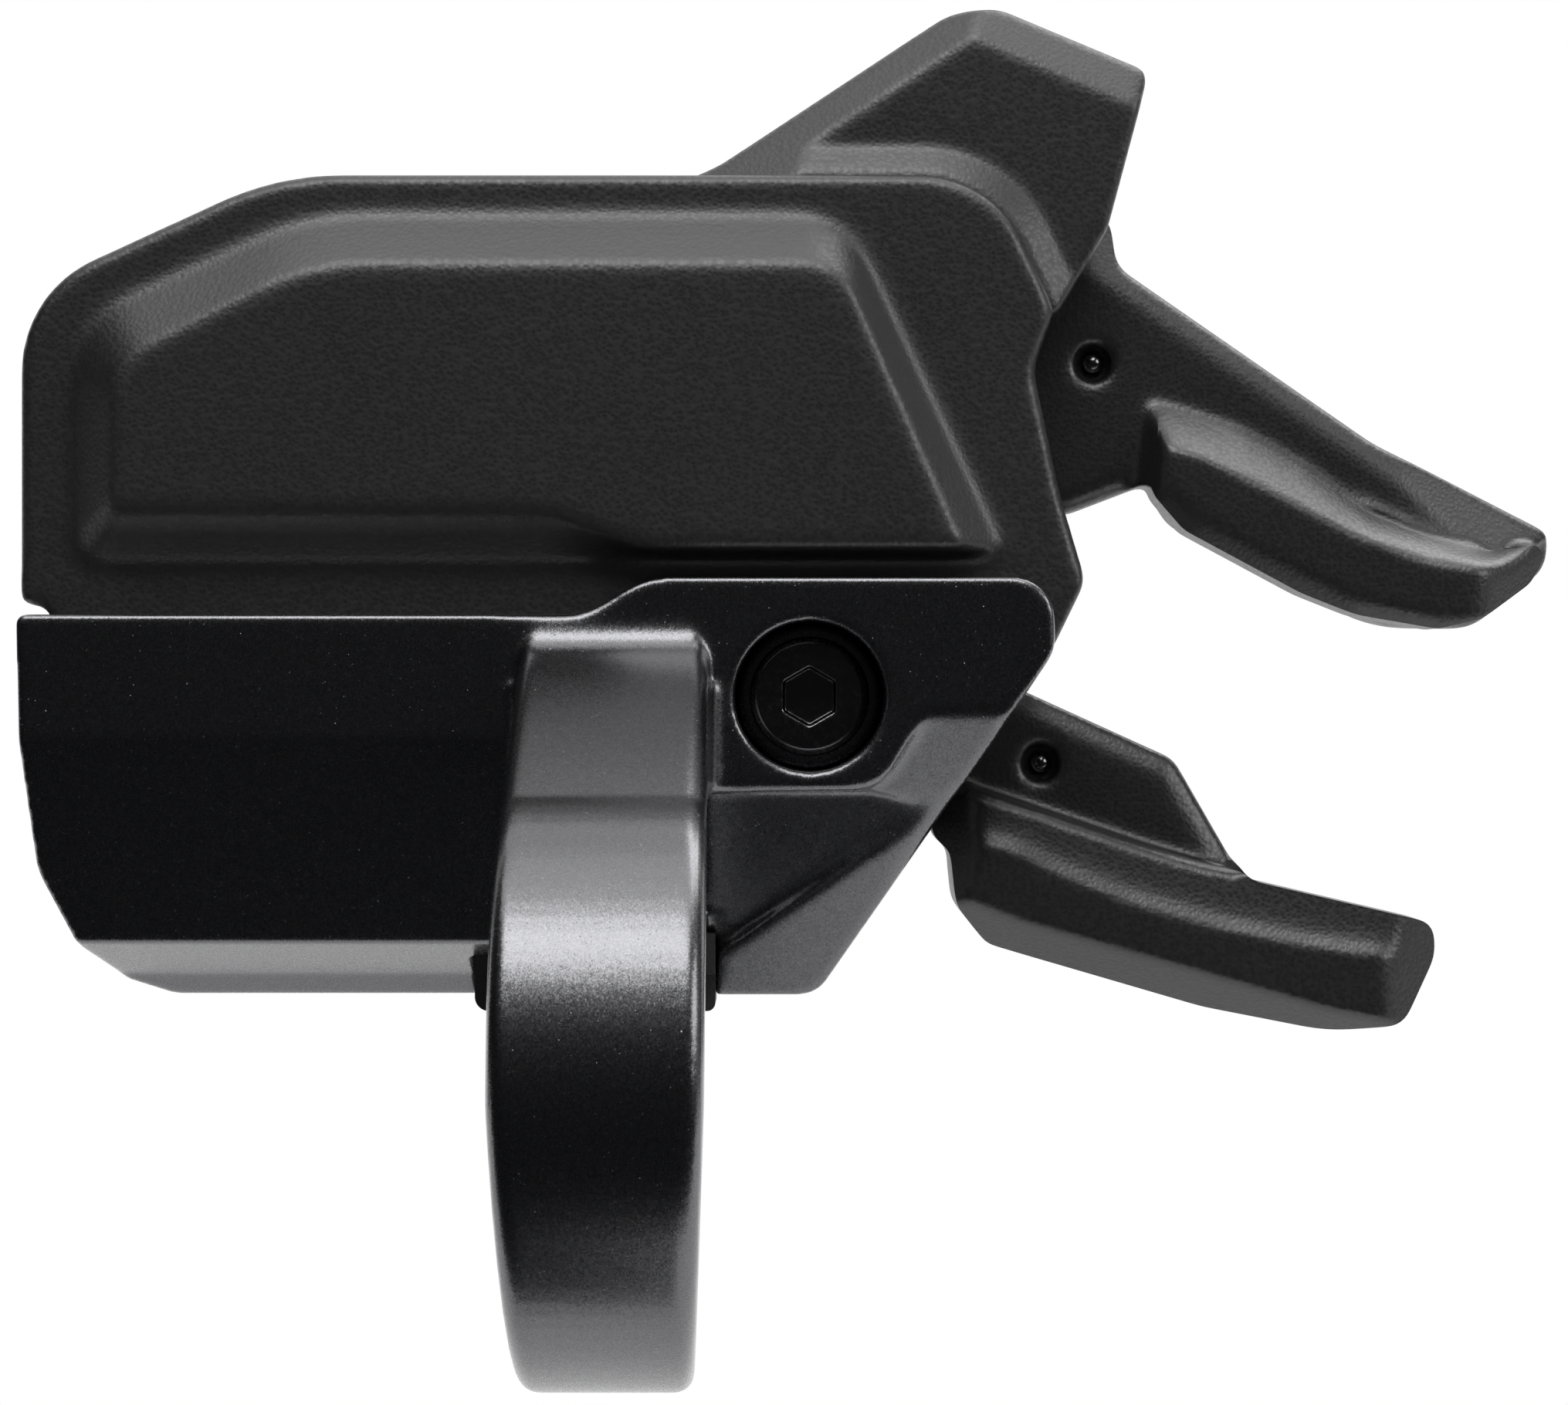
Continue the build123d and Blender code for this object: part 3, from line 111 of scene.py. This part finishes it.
# Lower paddle
LOWER_CREST = [
    (10.0, 11.5), (18.4, 10.75), (19.6, 10.4), (21.5, 9.4), (25.1, 7.95), (29.6, 6.65), (34.1, 5.75),
    (37.8, 5.25), (50.0, 4.0),
]
LOWER_KEEL = [(10.0, 11.3), (16.8, 8.3), (20.1, 6.95), (26.9, 5.0), (34.9, 2.7), (37.4, 2.2), (50.0, 0.2)]
LOWER_STEP = [
    (10.0, 15.5), (18.3, 13.2), (21.5, 12.15), (26.0, 10.55), (29.1, 9.6), (30.5, 9.4), (32.0, 30.0),
    (50.0, 31.0),
]
BAND_SLOPE, BAND_RISE, BAND_REACH = 0.17, 0.36, 0.42
LOWER_KEEL_SLOPE = 1.5
LOWER_LEFT_FOOT, LOWER_LEFT_LEAN, LOWER_LEFT_SLOPE = (17.0, 7.0), 0.23, 1.1
LOWER_NOSE_FOOT, LOWER_NOSE_SLOPE = (37.7, 0.0), 0.8
LOWER_CREST_ROUND, LOWER_END_ROUND, LOWER_CORNER_ROUND = 0.15, 0.1, 0.2

# Materials
NOISE_LOW, NOISE_HIGH = 0.3, 0.7       # between these lies most of what a noise texture gives
GRAIN_LOW, GRAIN_HIGH = 0.1, 0.7
SPARKLE_FROM, SPARKLE_FULL = 0.985, 0.99
PEEL_DEPTH, TOOL_MARK_DEPTH = 0.004 * MM, 0.004 * MM


def new_material(name):
    material = bpy.data.materials.new(name)
    material.use_nodes = True
    tree = material.node_tree
    return material, tree, tree.nodes["Principled BSDF"]


def add(tree, kind, **values):
    """A node with its properties and input values set by name."""
    node = tree.nodes.new(kind)
    for key, value in values.items():
        if key in node.inputs:
            node.inputs[key].default_value = value
        else:
            setattr(node, key, value)
    return node


def place_on_part(tree):
    """Coordinates that are fixed to the piece."""
    return tree.nodes.new("ShaderNodeTexCoord").outputs["Object"]


def texture(tree, kind, scale, vector=None, **values):
    """A procedural texture in the part's own coordinates; scale is in features per millimetre."""
    node = tree.nodes.new(kind)
    tree.links.new(vector or place_on_part(tree), node.inputs["Vector"])
    node.inputs["Scale"].default_value = scale / MM
    for key, value in values.items():
        if isinstance(value, str):
            setattr(node, key, value)
        else:
            node.inputs[key].default_value = value
    return node


def ramp(tree, source, low, high, dark, light):
    """Maps source from low..high to dark..light."""
    node = add(tree, "ShaderNodeMapRange")
    node.inputs["From Min"].default_value = low
    node.inputs["From Max"].default_value = high
    node.inputs["To Min"].default_value = dark
    node.inputs["To Max"].default_value = light
    tree.links.new(source, node.inputs["Value"])
    return node.outputs["Result"]


def mixed_colour(tree, factor, dark, light):
    node = add(tree, "ShaderNodeMix", data_type="RGBA")
    node.inputs["A"].default_value = (*dark, 1)
    node.inputs["B"].default_value = (*light, 1)
    tree.links.new(factor, node.inputs["Factor"])
    return node.outputs["Result"]


def uneven_colour(tree, shader, colour, lighter, patches_per_mm, detail):
    """Colour that drifts a little over the surface, up to lighter times the base colour."""
    patches = texture(tree, "ShaderNodeTexNoise", patches_per_mm, Detail=detail)
    shade = ramp(tree, patches.outputs["Fac"], NOISE_LOW, NOISE_HIGH, 0.0, 1.0)
    light = [min(1.0, channel * lighter) for channel in colour]
    tree.links.new(mixed_colour(tree, shade, colour, light), shader.inputs["Base Color"])


def bumped(tree, shader, *layers):
    """Stacks bump layers of (height output, depth in metres, strength)."""
    normal = None
    for height, depth, strength in layers:
        node = add(tree, "ShaderNodeBump")
        node.inputs["Distance"].default_value = depth
        node.inputs["Strength"].default_value = strength
        tree.links.new(height, node.inputs["Height"])
        if normal:
            tree.links.new(normal, node.inputs["Normal"])
        normal = node.outputs["Normal"]
    tree.links.new(normal, shader.inputs["Normal"])


def grained_plastic(name, colour, rough, cells, depth):
    """Moulded plastic with a spark-eroded leather grain; cells is in grains per millimetre."""
    material, tree, shader = new_material(name)
    wander = texture(tree, "ShaderNodeTexNoise", cells * 0.8, Detail=3.0)
    wandered = add(tree, "ShaderNodeVectorMath", operation="MULTIPLY_ADD")
    tree.links.new(wander.outputs["Color"], wandered.inputs[0])
    wandered.inputs[1].default_value = [0.5 * MM / cells] * 3
    tree.links.new(place_on_part(tree), wandered.inputs[2])
    grain = texture(
        tree, "ShaderNodeTexVoronoi", cells, wandered.outputs[0],
        feature="SMOOTH_F1", Smoothness=0.55, Randomness=1.0,
    )
    fine = texture(tree, "ShaderNodeTexNoise", cells * 3.5, Detail=2.0)
    uneven_colour(tree, shader, colour, lighter=1.18, patches_per_mm=0.12, detail=4.0)
    dull = ramp(tree, grain.outputs["Distance"], GRAIN_LOW, GRAIN_HIGH, rough - 0.05, rough + 0.07)
    tree.links.new(dull, shader.inputs["Roughness"])
    shader.inputs["Specular IOR Level"].default_value = 1.0
    bumped(tree, shader, (grain.outputs["Distance"], depth, 1.0), (fine.outputs["Fac"], depth * 0.3, 0.8))
    return material


def flake_paint(name, colour, rough, flakes, tilt, sparkle_tilt):
    """Dark metallic paint: each flake lies a little askew, and a few stand up and sparkle.
    flakes is their number per millimetre, the tilts are tangents."""
    material, tree, shader = new_material(name)
    shader.inputs["Metallic"].default_value = 1.0
    shader.inputs["Coat Weight"].default_value = 1.0
    shader.inputs["Coat Roughness"].default_value = 0.25
    cells = texture(tree, "ShaderNodeTexVoronoi", flakes, feature="F1", Randomness=1.0)
    lean = add(tree, "ShaderNodeVectorMath", operation="SUBTRACT")
    tree.links.new(cells.outputs["Color"], lean.inputs[0])
    lean.inputs[1].default_value = (0.5, 0.5, 0.5)
    rare = texture(tree, "ShaderNodeTexVoronoi", flakes * 0.8, feature="F1", Randomness=1.0)
    pick = add(tree, "ShaderNodeSeparateColor")
    tree.links.new(rare.outputs["Color"], pick.inputs["Color"])
    amount = ramp(tree, pick.outputs["Red"], SPARKLE_FROM, SPARKLE_FULL, 2 * tilt, 2 * sparkle_tilt)
    scaled = add(tree, "ShaderNodeVectorMath", operation="SCALE")
    tree.links.new(lean.outputs[0], scaled.inputs[0])
    tree.links.new(amount, scaled.inputs["Scale"])
    peel = texture(tree, "ShaderNodeTexNoise", 1.6, Detail=2.0)
    smooth = add(tree, "ShaderNodeBump")
    smooth.inputs["Distance"].default_value = PEEL_DEPTH
    smooth.inputs["Strength"].default_value = 0.3
    tree.links.new(peel.outputs["Fac"], smooth.inputs["Height"])
    tipped = add(tree, "ShaderNodeVectorMath", operation="ADD")
    tree.links.new(smooth.outputs["Normal"], tipped.inputs[0])
    tree.links.new(scaled.outputs[0], tipped.inputs[1])
    unit = add(tree, "ShaderNodeVectorMath", operation="NORMALIZE")
    tree.links.new(tipped.outputs[0], unit.inputs[0])
    tree.links.new(unit.outputs[0], shader.inputs["Normal"])
    light = [channel * 1.25 for channel in colour]
    tree.links.new(mixed_colour(tree, pick.outputs["Green"], colour, light), shader.inputs["Base Color"])
    dull = ramp(tree, pick.outputs["Blue"], 0.0, 1.0, rough - 0.04, rough + 0.06)
    tree.links.new(dull, shader.inputs["Roughness"])
    return material


def turned_metal(name, colour, rough, coat=0.0, brush=(1.0, 1.0, 1.0)):
    """Metal with faint tool marks and uneven gloss; brush squeezes the marks along each axis."""
    material, tree, shader = new_material(name)
    stretch = add(tree, "ShaderNodeMapping")
    stretch.inputs["Scale"].default_value = brush
    tree.links.new(place_on_part(tree), stretch.inputs["Vector"])
    marks = texture(tree, "ShaderNodeTexNoise", 5.0, stretch.outputs["Vector"], Detail=3.0)
    dull = ramp(tree, marks.outputs["Fac"], NOISE_LOW, NOISE_HIGH, rough - 0.05, rough + 0.08)
    tree.links.new(dull, shader.inputs["Roughness"])
    uneven_colour(tree, shader, colour, lighter=1.2, patches_per_mm=0.5, detail=3.0)
    shader.inputs["Metallic"].default_value = 1.0
    shader.inputs["Coat Weight"].default_value = coat
    bumped(tree, shader, (marks.outputs["Fac"], TOOL_MARK_DEPTH, 0.6))
    return material


SLOTS = {
    "cover_plastic": grained_plastic("cover_plastic", (0.0105, 0.0105, 0.0112), 0.4, 4.6, 0.015 * MM),
    "lever_plastic": grained_plastic("lever_plastic", (0.0085, 0.0085, 0.009), 0.36, 4.8, 0.014 * MM),
    "cap_plastic": grained_plastic("cap_plastic", (0.0105, 0.0105, 0.0112), 0.4, 4.2, 0.02 * MM),
    "bracket_paint": flake_paint("bracket_paint", (0.12, 0.12, 0.127), 0.27, 20.0, 0.06, 0.34),
    "black_steel": turned_metal("black_steel", (0.13, 0.13, 0.132), 0.2, coat=0.5),
    "black_block": grained_plastic("black_block", (0.008, 0.008, 0.008), 0.55, 5.0, 0.01 * MM),
    "brass": turned_metal("brass", (0.55, 0.39, 0.16), 0.3, brush=(1, 1, 6)),
    "board": grained_plastic("board", (0.01, 0.07, 0.035), 0.35, 2.0, 0.004 * MM),
    "tin_plate": turned_metal("tin_plate", (0.55, 0.55, 0.53), 0.32),
    "flex_film": grained_plastic("flex_film", (0.28, 0.12, 0.02), 0.3, 1.5, 0.003 * MM),
    "switch_body": grained_plastic("switch_body", (0.02, 0.02, 0.021), 0.5, 6.0, 0.006 * MM),
    "cell_steel": turned_metal("cell_steel", (0.6, 0.6, 0.61), 0.25, brush=(1, 8, 1)),
    "seal_rubber": grained_plastic("seal_rubber", (0.008, 0.008, 0.008), 0.6, 7.0, 0.005 * MM),
    "pin_steel": turned_metal("pin_steel", (0.45, 0.45, 0.46), 0.25, brush=(1, 0.2, 1)),
    "spring_steel": turned_metal("spring_steel", (0.35, 0.35, 0.36), 0.3),
    "arm_steel": turned_metal("arm_steel", (0.34, 0.34, 0.36), 0.35, brush=(0.3, 1, 1)),
}


def body_of_node(node):
    for body, nodes in frame["record"]["behaviour"]["bodies"].items():
        if node in nodes:
            return body
    raise ValueError(node)


def slot_of_node(node):
    for row in frame["record"]["subparts"]:
        if row["node"] == node:
            return row["material_slot"]
    raise ValueError(node)


def closed_copy(node):
    """The CAD node's mesh as a new object, with the vertices of neighbouring faces joined."""
    mesh = frame["nodes"][node].data.copy()
    shape = bmesh.new()
    shape.from_mesh(mesh)
    bmesh.ops.remove_doubles(shape, verts=shape.verts, dist=0.001 * MM)
    shape.to_mesh(mesh)
    shape.free()
    mesh.materials.clear()
    piece = bpy.data.objects.new(node + "_skin", mesh)
    bpy.context.scene.collection.objects.link(piece)
    return piece


def smooth_shaded(mesh):
    mesh.polygons.foreach_set("use_smooth", [True] * len(mesh.polygons))
    mesh.update()


def apply_modifiers(piece):
    graph = bpy.context.evaluated_depsgraph_get()
    mesh = bpy.data.meshes.new_from_object(piece.evaluated_get(graph))
    piece.modifiers.clear()
    piece.data = mesh
    smooth_shaded(mesh)


def points_of(mesh):
    points = np.empty(3 * len(mesh.vertices))
    mesh.vertices.foreach_get("co", points)
    return points.reshape(-1, 3)


def set_points(mesh, points):
    mesh.vertices.foreach_set("co", points.ravel())
    mesh.update()


def filled(piece, outline, front, back):
    """Adds a block over an outline of (x, z) points, which the remeshing joins with the piece."""
    shape = bmesh.new()
    shape.from_mesh(piece.data)
    rings = [[shape.verts.new((x * MM, y * MM, z * MM)) for x, z in outline] for y in (front, back)]
    shape.faces.new(rings[0])
    shape.faces.new(reversed(rings[1]))
    for i in range(len(outline)):
        shape.faces.new((rings[0][i - 1], rings[1][i - 1], rings[1][i], rings[0][i]))
    bmesh.ops.recalc_face_normals(shape, faces=shape.faces)
    shape.to_mesh(piece.data)
    shape.free()


def swollen(mesh, amount):
    """Moves the side walls outwards in X and Z, to make up for what relaxing takes off thin edges."""
    normals = np.empty(3 * len(mesh.vertices))
    mesh.vertices.foreach_get("normal", normals)
    normals = normals.reshape(-1, 3)
    steep = np.clip(1.5 - 2.0 * np.abs(normals[:, 1]), 0.0, 1.0)
    out = normals * steep[:, None] * amount
    out[:, 1] = 0.0
    set_points(mesh, points_of(mesh) + out)


def near_path(points, path, reach):
    """1 on a path of points, falling to 0 at the distance reach."""
    nearest = np.full(len(points), np.inf)
    path = np.array(path) * MM
    for a, b in zip(path, path[1:]):
        along = np.clip((points - a) @ (b - a) / ((b - a) @ (b - a)), 0.0, 1.0)
        nearest = np.minimum(nearest, np.linalg.norm(points - a - along[:, None] * (b - a), axis=1))
    return np.clip(1.5 - 1.5 * nearest / (reach * MM), 0.0, 1.0)


def relaxed(mesh, passes, weight=1.0):
    count = len(mesh.vertices)
    edges = np.empty(2 * len(mesh.edges), dtype=int)
    mesh.edges.foreach_get("vertices", edges)
    edges = edges.reshape(-1, 2)
    ends = np.concatenate([edges[:, 0], edges[:, 1]])
    others = np.concatenate([edges[:, 1], edges[:, 0]])
    degree = np.maximum(np.bincount(ends, minlength=count), 1)
    points = points_of(mesh)
    for _ in range(max(1, round(passes / PASS_DIVISOR))):
        middle = [np.bincount(ends, points[others, axis], count) / degree for axis in range(3)]
        points += 0.5 * np.reshape(weight, (-1, 1)) * (np.stack(middle, axis=1) - points)
    set_points(mesh, points)


def above(x, z, line):
    """Height over a line of (x, z) points that runs to the right, measured square to the line."""
    xs, zs = np.array(line).T
    slope = np.interp(x, xs, np.gradient(zs, xs))
    level = np.interp(x, xs, zs) + slope * (np.maximum(x - xs[-1], 0) + np.minimum(x - xs[0], 0))
    return (z - level) / np.sqrt(1 + slope ** 2)


def beside(x, z, foot, lean=0.0):
    """Distance in x to the right of a line through foot; lean is the line's shift in x per unit of z."""
    return x - foot[0] - lean * (z - foot[1])


def rounded_max(a, b, round_over):
    """The larger of two depths, with the edge where they meet rounded."""
    return 0.5 * (a + b + np.sqrt((a - b) ** 2 + round_over ** 2))


def upper_pad(x, z):
    """Depth of the upper paddle's front: a slanted facet above a flat face, with a slanted left end,
    a receding right end and a bead along the bottom."""
    crest, under = above(x, z, UPPER_CREST), -above(x, z, UPPER_FACET_TOP)
    share = np.clip(crest / np.maximum(crest + under, LEAST_FACET), 0, 1)
    facet = UPPER_FACE + (PLATE_FACE - UPPER_FACE) * share
    left = UPPER_FACE - UPPER_LEFT_SLOPE * beside(x, z, UPPER_LEFT_FOOT, UPPER_LEFT_LEAN)
    nose = UPPER_FACE + UPPER_NOSE_SLOPE * beside(x, z, UPPER_NOSE_FOOT, UPPER_NOSE_LEAN)
    bead = UPPER_FACE - UPPER_BEAD_SLOPE * above(x, z, UPPER_LIP)
    pad = np.minimum(rounded_max(facet, left, UPPER_LEFT_ROUND), PLATE_FACE)
    pad = rounded_max(rounded_max(pad, nose, UPPER_NOSE_ROUND), bead, UPPER_BEAD_ROUND)
    return np.where((x > UPPER_PAD_LEFT) & (under > 0), pad, np.nan)


def upper_edge(x, z):
    """Broad round along the upper paddle's top edge, which runs into the ridge towards its tip."""
    over = np.maximum(above(x, z, UPPER_EDGE_LINE), above(x, z, UPPER_RIDGE_LINE))
    on_edge = (over > 0) & (above(x, z, UPPER_FACET_TOP) > 0)
    over = np.clip(over, 0, None)
    start = np.minimum(over, EDGE_RADIUS * math.sin(EDGE_TILT))
    depth = PLATE_FACE + EDGE_RADIUS - np.sqrt(EDGE_RADIUS ** 2 - start ** 2)
    return np.where(on_edge, depth + (over - start) * math.tan(EDGE_TILT), -np.inf)


def lower_pad(x, z):
    """Depth of the lower paddle's front: a hollow band that rises into the pad's ridge, a flat face,
    a keel that looks down, and slanted ends."""
    over = np.clip(above(x, z, LOWER_CREST), 0, None)
    band = LOWER_FACE + BAND_SLOPE * over + BAND_RISE * (1 - np.exp(-over / BAND_REACH))
    keel = LOWER_FACE - LOWER_KEEL_SLOPE * above(x, z, LOWER_KEEL)
    left = LOWER_FACE - LOWER_LEFT_SLOPE * beside(x, z, LOWER_LEFT_FOOT, LOWER_LEFT_LEAN)
    nose = LOWER_FACE + LOWER_NOSE_SLOPE * beside(x, z, LOWER_NOSE_FOOT)
    face = rounded_max(band, keel, LOWER_CREST_ROUND)
    ends = rounded_max(left, nose, LOWER_END_ROUND)
    pad = rounded_max(face, ends, LOWER_CORNER_ROUND)
    return np.where(above(x, z, LOWER_STEP) < 0, pad, np.nan)


def shaped(mesh, depth_at, cut_at=None):
    """Moves the points of the front to the depths depth_at(x, z), and what is in front of the
    depths cut_at(x, z) back to them. Both work in mm."""
    points = points_of(mesh) / MM
    x, y, z = points.T
    depth = depth_at(x, z)
    y = np.where((y < PLATE_FACE + PAD_DEPTH) & ~np.isnan(depth), depth, y)
    if cut_at:
        y = np.where(y < PLATE_FACE + CUT_DEPTH, np.maximum(y, cut_at(x, z)), y)
    points[:, 1] = y
    set_points(mesh, points * MM)


def moulded(node, voxel, passes, keep=1.0, swell=0.0, soft=(), fill=None, depth_at=None, cut_at=None):
    """A skin for a CAD node with the soft edges of a moulding or casting: remeshed, then relaxed.
    soft holds further places to relax, as (path, reach, passes). keep is the share of the faces
    that stays at the end. voxel, swell and reach are in mm."""
    piece = closed_copy(node)
    if fill:
        filled(piece, *fill)
    remesh = piece.modifiers.new("remesh", "REMESH")
    remesh.mode = "VOXEL"
    remesh.voxel_size = voxel * MM * VOXEL_SCALE
    apply_modifiers(piece)
    swollen(piece.data, swell * MM)
    if depth_at:
        shaped(piece.data, depth_at, cut_at)
    relaxed(piece.data, passes)
    for path, reach, more in soft:
        relaxed(piece.data, more, near_path(points_of(piece.data), path, reach))
    if keep < 1:
        fewer = piece.modifiers.new("fewer", "DECIMATE")
        fewer.ratio = keep
        apply_modifiers(piece)
    piece.data.materials.append(SLOTS[slot_of_node(node)])
    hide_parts(node)
    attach(piece, body_of_node(node))


def softbox(name, azimuth, elevation, width, height, radiance, distance=LAMP_DISTANCE):
    """A rectangular lamp aimed at the unit. Azimuth is in degrees from the camera's side towards
    the right; radiance is what a mirror would show of it."""
    around, up = math.radians(azimuth), math.radians(elevation)
    way = Vector((math.cos(up) * math.sin(around), -math.cos(up) * math.cos(around), math.sin(up)))
    data = bpy.data.lights.new(name, "AREA")
    data.shape = "RECTANGLE"
    data.size = width
    data.size_y = height
    data.energy = radiance * math.pi * width * height
    lamp = bpy.data.objects.new(name, data)
    lamp.location = Vector(LIT_POINT) + way * distance
    lamp.rotation_euler = way.to_track_quat("Z", "Y").to_euler()
    bpy.context.scene.collection.objects.link(lamp)


def stage_sheet(name, vertices, faces, material):
    mesh = bpy.data.meshes.new(name)
    mesh.from_pydata(vertices, [], faces)
    smooth_shaded(mesh)
    mesh.materials.append(material)
    sheet = bpy.data.objects.new(name, mesh)
    bpy.context.scene.collection.objects.link(sheet)
    return sheet


def level_sheet(name, left, front, z, material):
    """A rectangle from the left and front limits to the right side and the front of the cove."""
    corners = [(left, front, z), (FLOOR_SIDE, front, z), (FLOOR_SIDE, FLOOR_FRONT, z), (left, FLOOR_FRONT, z)]
    return stage_sheet(name, corners, [(0, 1, 2, 3)], material)


def make_cove():
    """Pale table top that sweeps up into a backdrop. Its front part isn't mirrored in the object,
    apart from a card on the right, so that the faces that look forwards and down stay dark."""
    bend_y, bend_z = FLOOR_BACK - COVE_RADIUS, FLOOR_Z + COVE_RADIUS
    profile = [(FLOOR_FRONT, FLOOR_Z), (bend_y, FLOOR_Z)]
    for step in range(1, COVE_STEPS + 1):
        angle = math.radians(90 * step / COVE_STEPS)
        profile.append((bend_y + COVE_RADIUS * math.sin(angle), bend_z - COVE_RADIUS * math.cos(angle)))
    profile.append((FLOOR_BACK, COVE_TOP))
    vertices = [(x, y, z) for y, z in profile for x in (-FLOOR_SIDE, FLOOR_SIDE)]
    faces = [(2 * i, 2 * i + 1, 2 * i + 3, 2 * i + 2) for i in range(len(profile) - 1)]
    material = cove_material()
    stage_sheet("cove", vertices, faces, material)
    level_sheet("card", CARD_LEFT, CARD_FRONT, FLOOR_Z, material)
    front = level_sheet("front", -FLOOR_SIDE, -FLOOR_SIDE, FLOOR_Z - FRONT_SHEET_DROP, material)
    front.visible_glossy = False


def seen_ray(tree):
    """1 for camera, glossy and transmission rays, 0 for the rays that carry light."""
    path = tree.nodes.new("ShaderNodeLightPath")
    either = add(tree, "ShaderNodeMath", operation="MAXIMUM")
    tree.links.new(path.outputs["Is Camera Ray"], either.inputs[0])
    tree.links.new(path.outputs["Is Glossy Ray"], either.inputs[1])
    third = add(tree, "ShaderNodeMath", operation="MAXIMUM")
    tree.links.new(either.outputs[0], third.inputs[0])
    tree.links.new(path.outputs["Is Transmission Ray"], third.inputs[1])
    return third.outputs[0]


def cove_material():
    """White that takes the object's shadow near it and is plain background further out."""
    material, tree, shader = new_material("cove")
    shader.inputs["Base Color"].default_value = (COVE_WHITE, COVE_WHITE, COVE_WHITE, 1)
    shader.inputs["Roughness"].default_value = COVE_ROUGH
    shader.inputs["Specular IOR Level"].default_value = COVE_SHINE
    place = add(tree, "ShaderNodeNewGeometry")
    distance = add(tree, "ShaderNodeVectorMath", operation="LENGTH")
    tree.links.new(place.outputs["Position"], distance.inputs[0])
    far = ramp(tree, distance.outputs["Value"], WHITE_NEAR, WHITE_FAR, 0.0, 1.0)
    both = add(tree, "ShaderNodeMath", operation="MULTIPLY")
    tree.links.new(far, both.inputs[0])
    tree.links.new(seen_ray(tree), both.inputs[1])
    white = add(tree, "ShaderNodeEmission")
    white.inputs["Color"].default_value = (1, 1, 1, 1)
    mix = add(tree, "ShaderNodeMixShader")
    tree.links.new(both.outputs[0], mix.inputs[0])
    tree.links.new(shader.outputs[0], mix.inputs[1])
    tree.links.new(white.outputs[0], mix.inputs[2])
    tree.links.new(mix.outputs[0], tree.nodes["Material Output"].inputs["Surface"])
    return material


def make_world():
    """White where the camera looks past the cove, nearly black for everything else."""
    world = bpy.data.worlds.new("studio")
    bpy.context.scene.world = world
    world.use_nodes = True
    tree = world.node_tree
    dim = tree.nodes["Background"]
    dim.inputs["Color"].default_value = (*DIM_LIGHT, 1)
    dim.inputs["Strength"].default_value = DIM_STRENGTH
    white = add(tree, "ShaderNodeBackground")
    white.inputs["Color"].default_value = (1, 1, 1, 1)
    path = tree.nodes.new("ShaderNodeLightPath")
    mix = add(tree, "ShaderNodeMixShader")
    tree.links.new(path.outputs["Is Camera Ray"], mix.inputs[0])
    tree.links.new(dim.outputs[0], mix.inputs[1])
    tree.links.new(white.outputs[0], mix.inputs[2])
    tree.links.new(mix.outputs[0], tree.nodes["World Output"].inputs["Surface"])


def make_camera():
    data = bpy.data.cameras.new("camera")
    data.lens = LENS
    data.sensor_width = SENSOR
    data.sensor_fit = "HORIZONTAL"
    data.clip_start = 0.01
    data.clip_end = 5.0
    camera = bpy.data.objects.new("camera", data)
    camera.location = CAMERA_AT
    camera.rotation_euler = (math.radians(90), 0, 0)
    bpy.context.scene.collection.objects.link(camera)
    bpy.context.scene.camera = camera


def make_skins():
    moulded("front_cover", 0.26, 8, keep=0.5)
    moulded("rear_housing", 0.32, 6, keep=0.4)
    moulded("function_paddle", 0.18, 10, keep=0.9, swell=0.03)
    moulded("upper_thumb_paddle", 0.2, 9, swell=0.06, fill=UPPER_FILL, depth_at=upper_pad, cut_at=upper_edge)
    moulded("lower_thumb_paddle", 0.2, 9, swell=0.06, depth_at=lower_pad)
    bracket_soft = [(RIDGE_PATH, 1.4, 10), (POCKET_PATH, 2.2, 24), (NECK_PATH, 1.2, 8)]
    moulded("clamp_bracket", 0.15, 7, keep=0.37, soft=bracket_soft)
    moulded("battery_cover", 0.2, 3, keep=0.6)
    moulded("unit_bolt", 0.07, 4, keep=0.4)


def make_lamps():
    softbox("front_top", -6, 56, 0.45, 0.23, 4.7)
    softbox("overhead", 0, 86, 0.8, 0.27, 1.4)
    softbox("back_top", 180, 62, 0.6, 0.3, 0.8, distance=0.55)
    softbox("right_back", 125, 55, 0.3, 0.3, 3.0)
    softbox("front_right", 63, 22, 0.24, 0.22, 3.5)
    softbox("right", 90, 8, 0.2, 0.2, 0.3)


for node, thing in frame["nodes"].items():
    thing.data.materials.clear()
    thing.data.materials.append(SLOTS[slot_of_node(node)])

make_skins()
make_camera()
make_world()
make_cove()
make_lamps()

bpy.context.scene.view_settings.view_transform = "Standard"
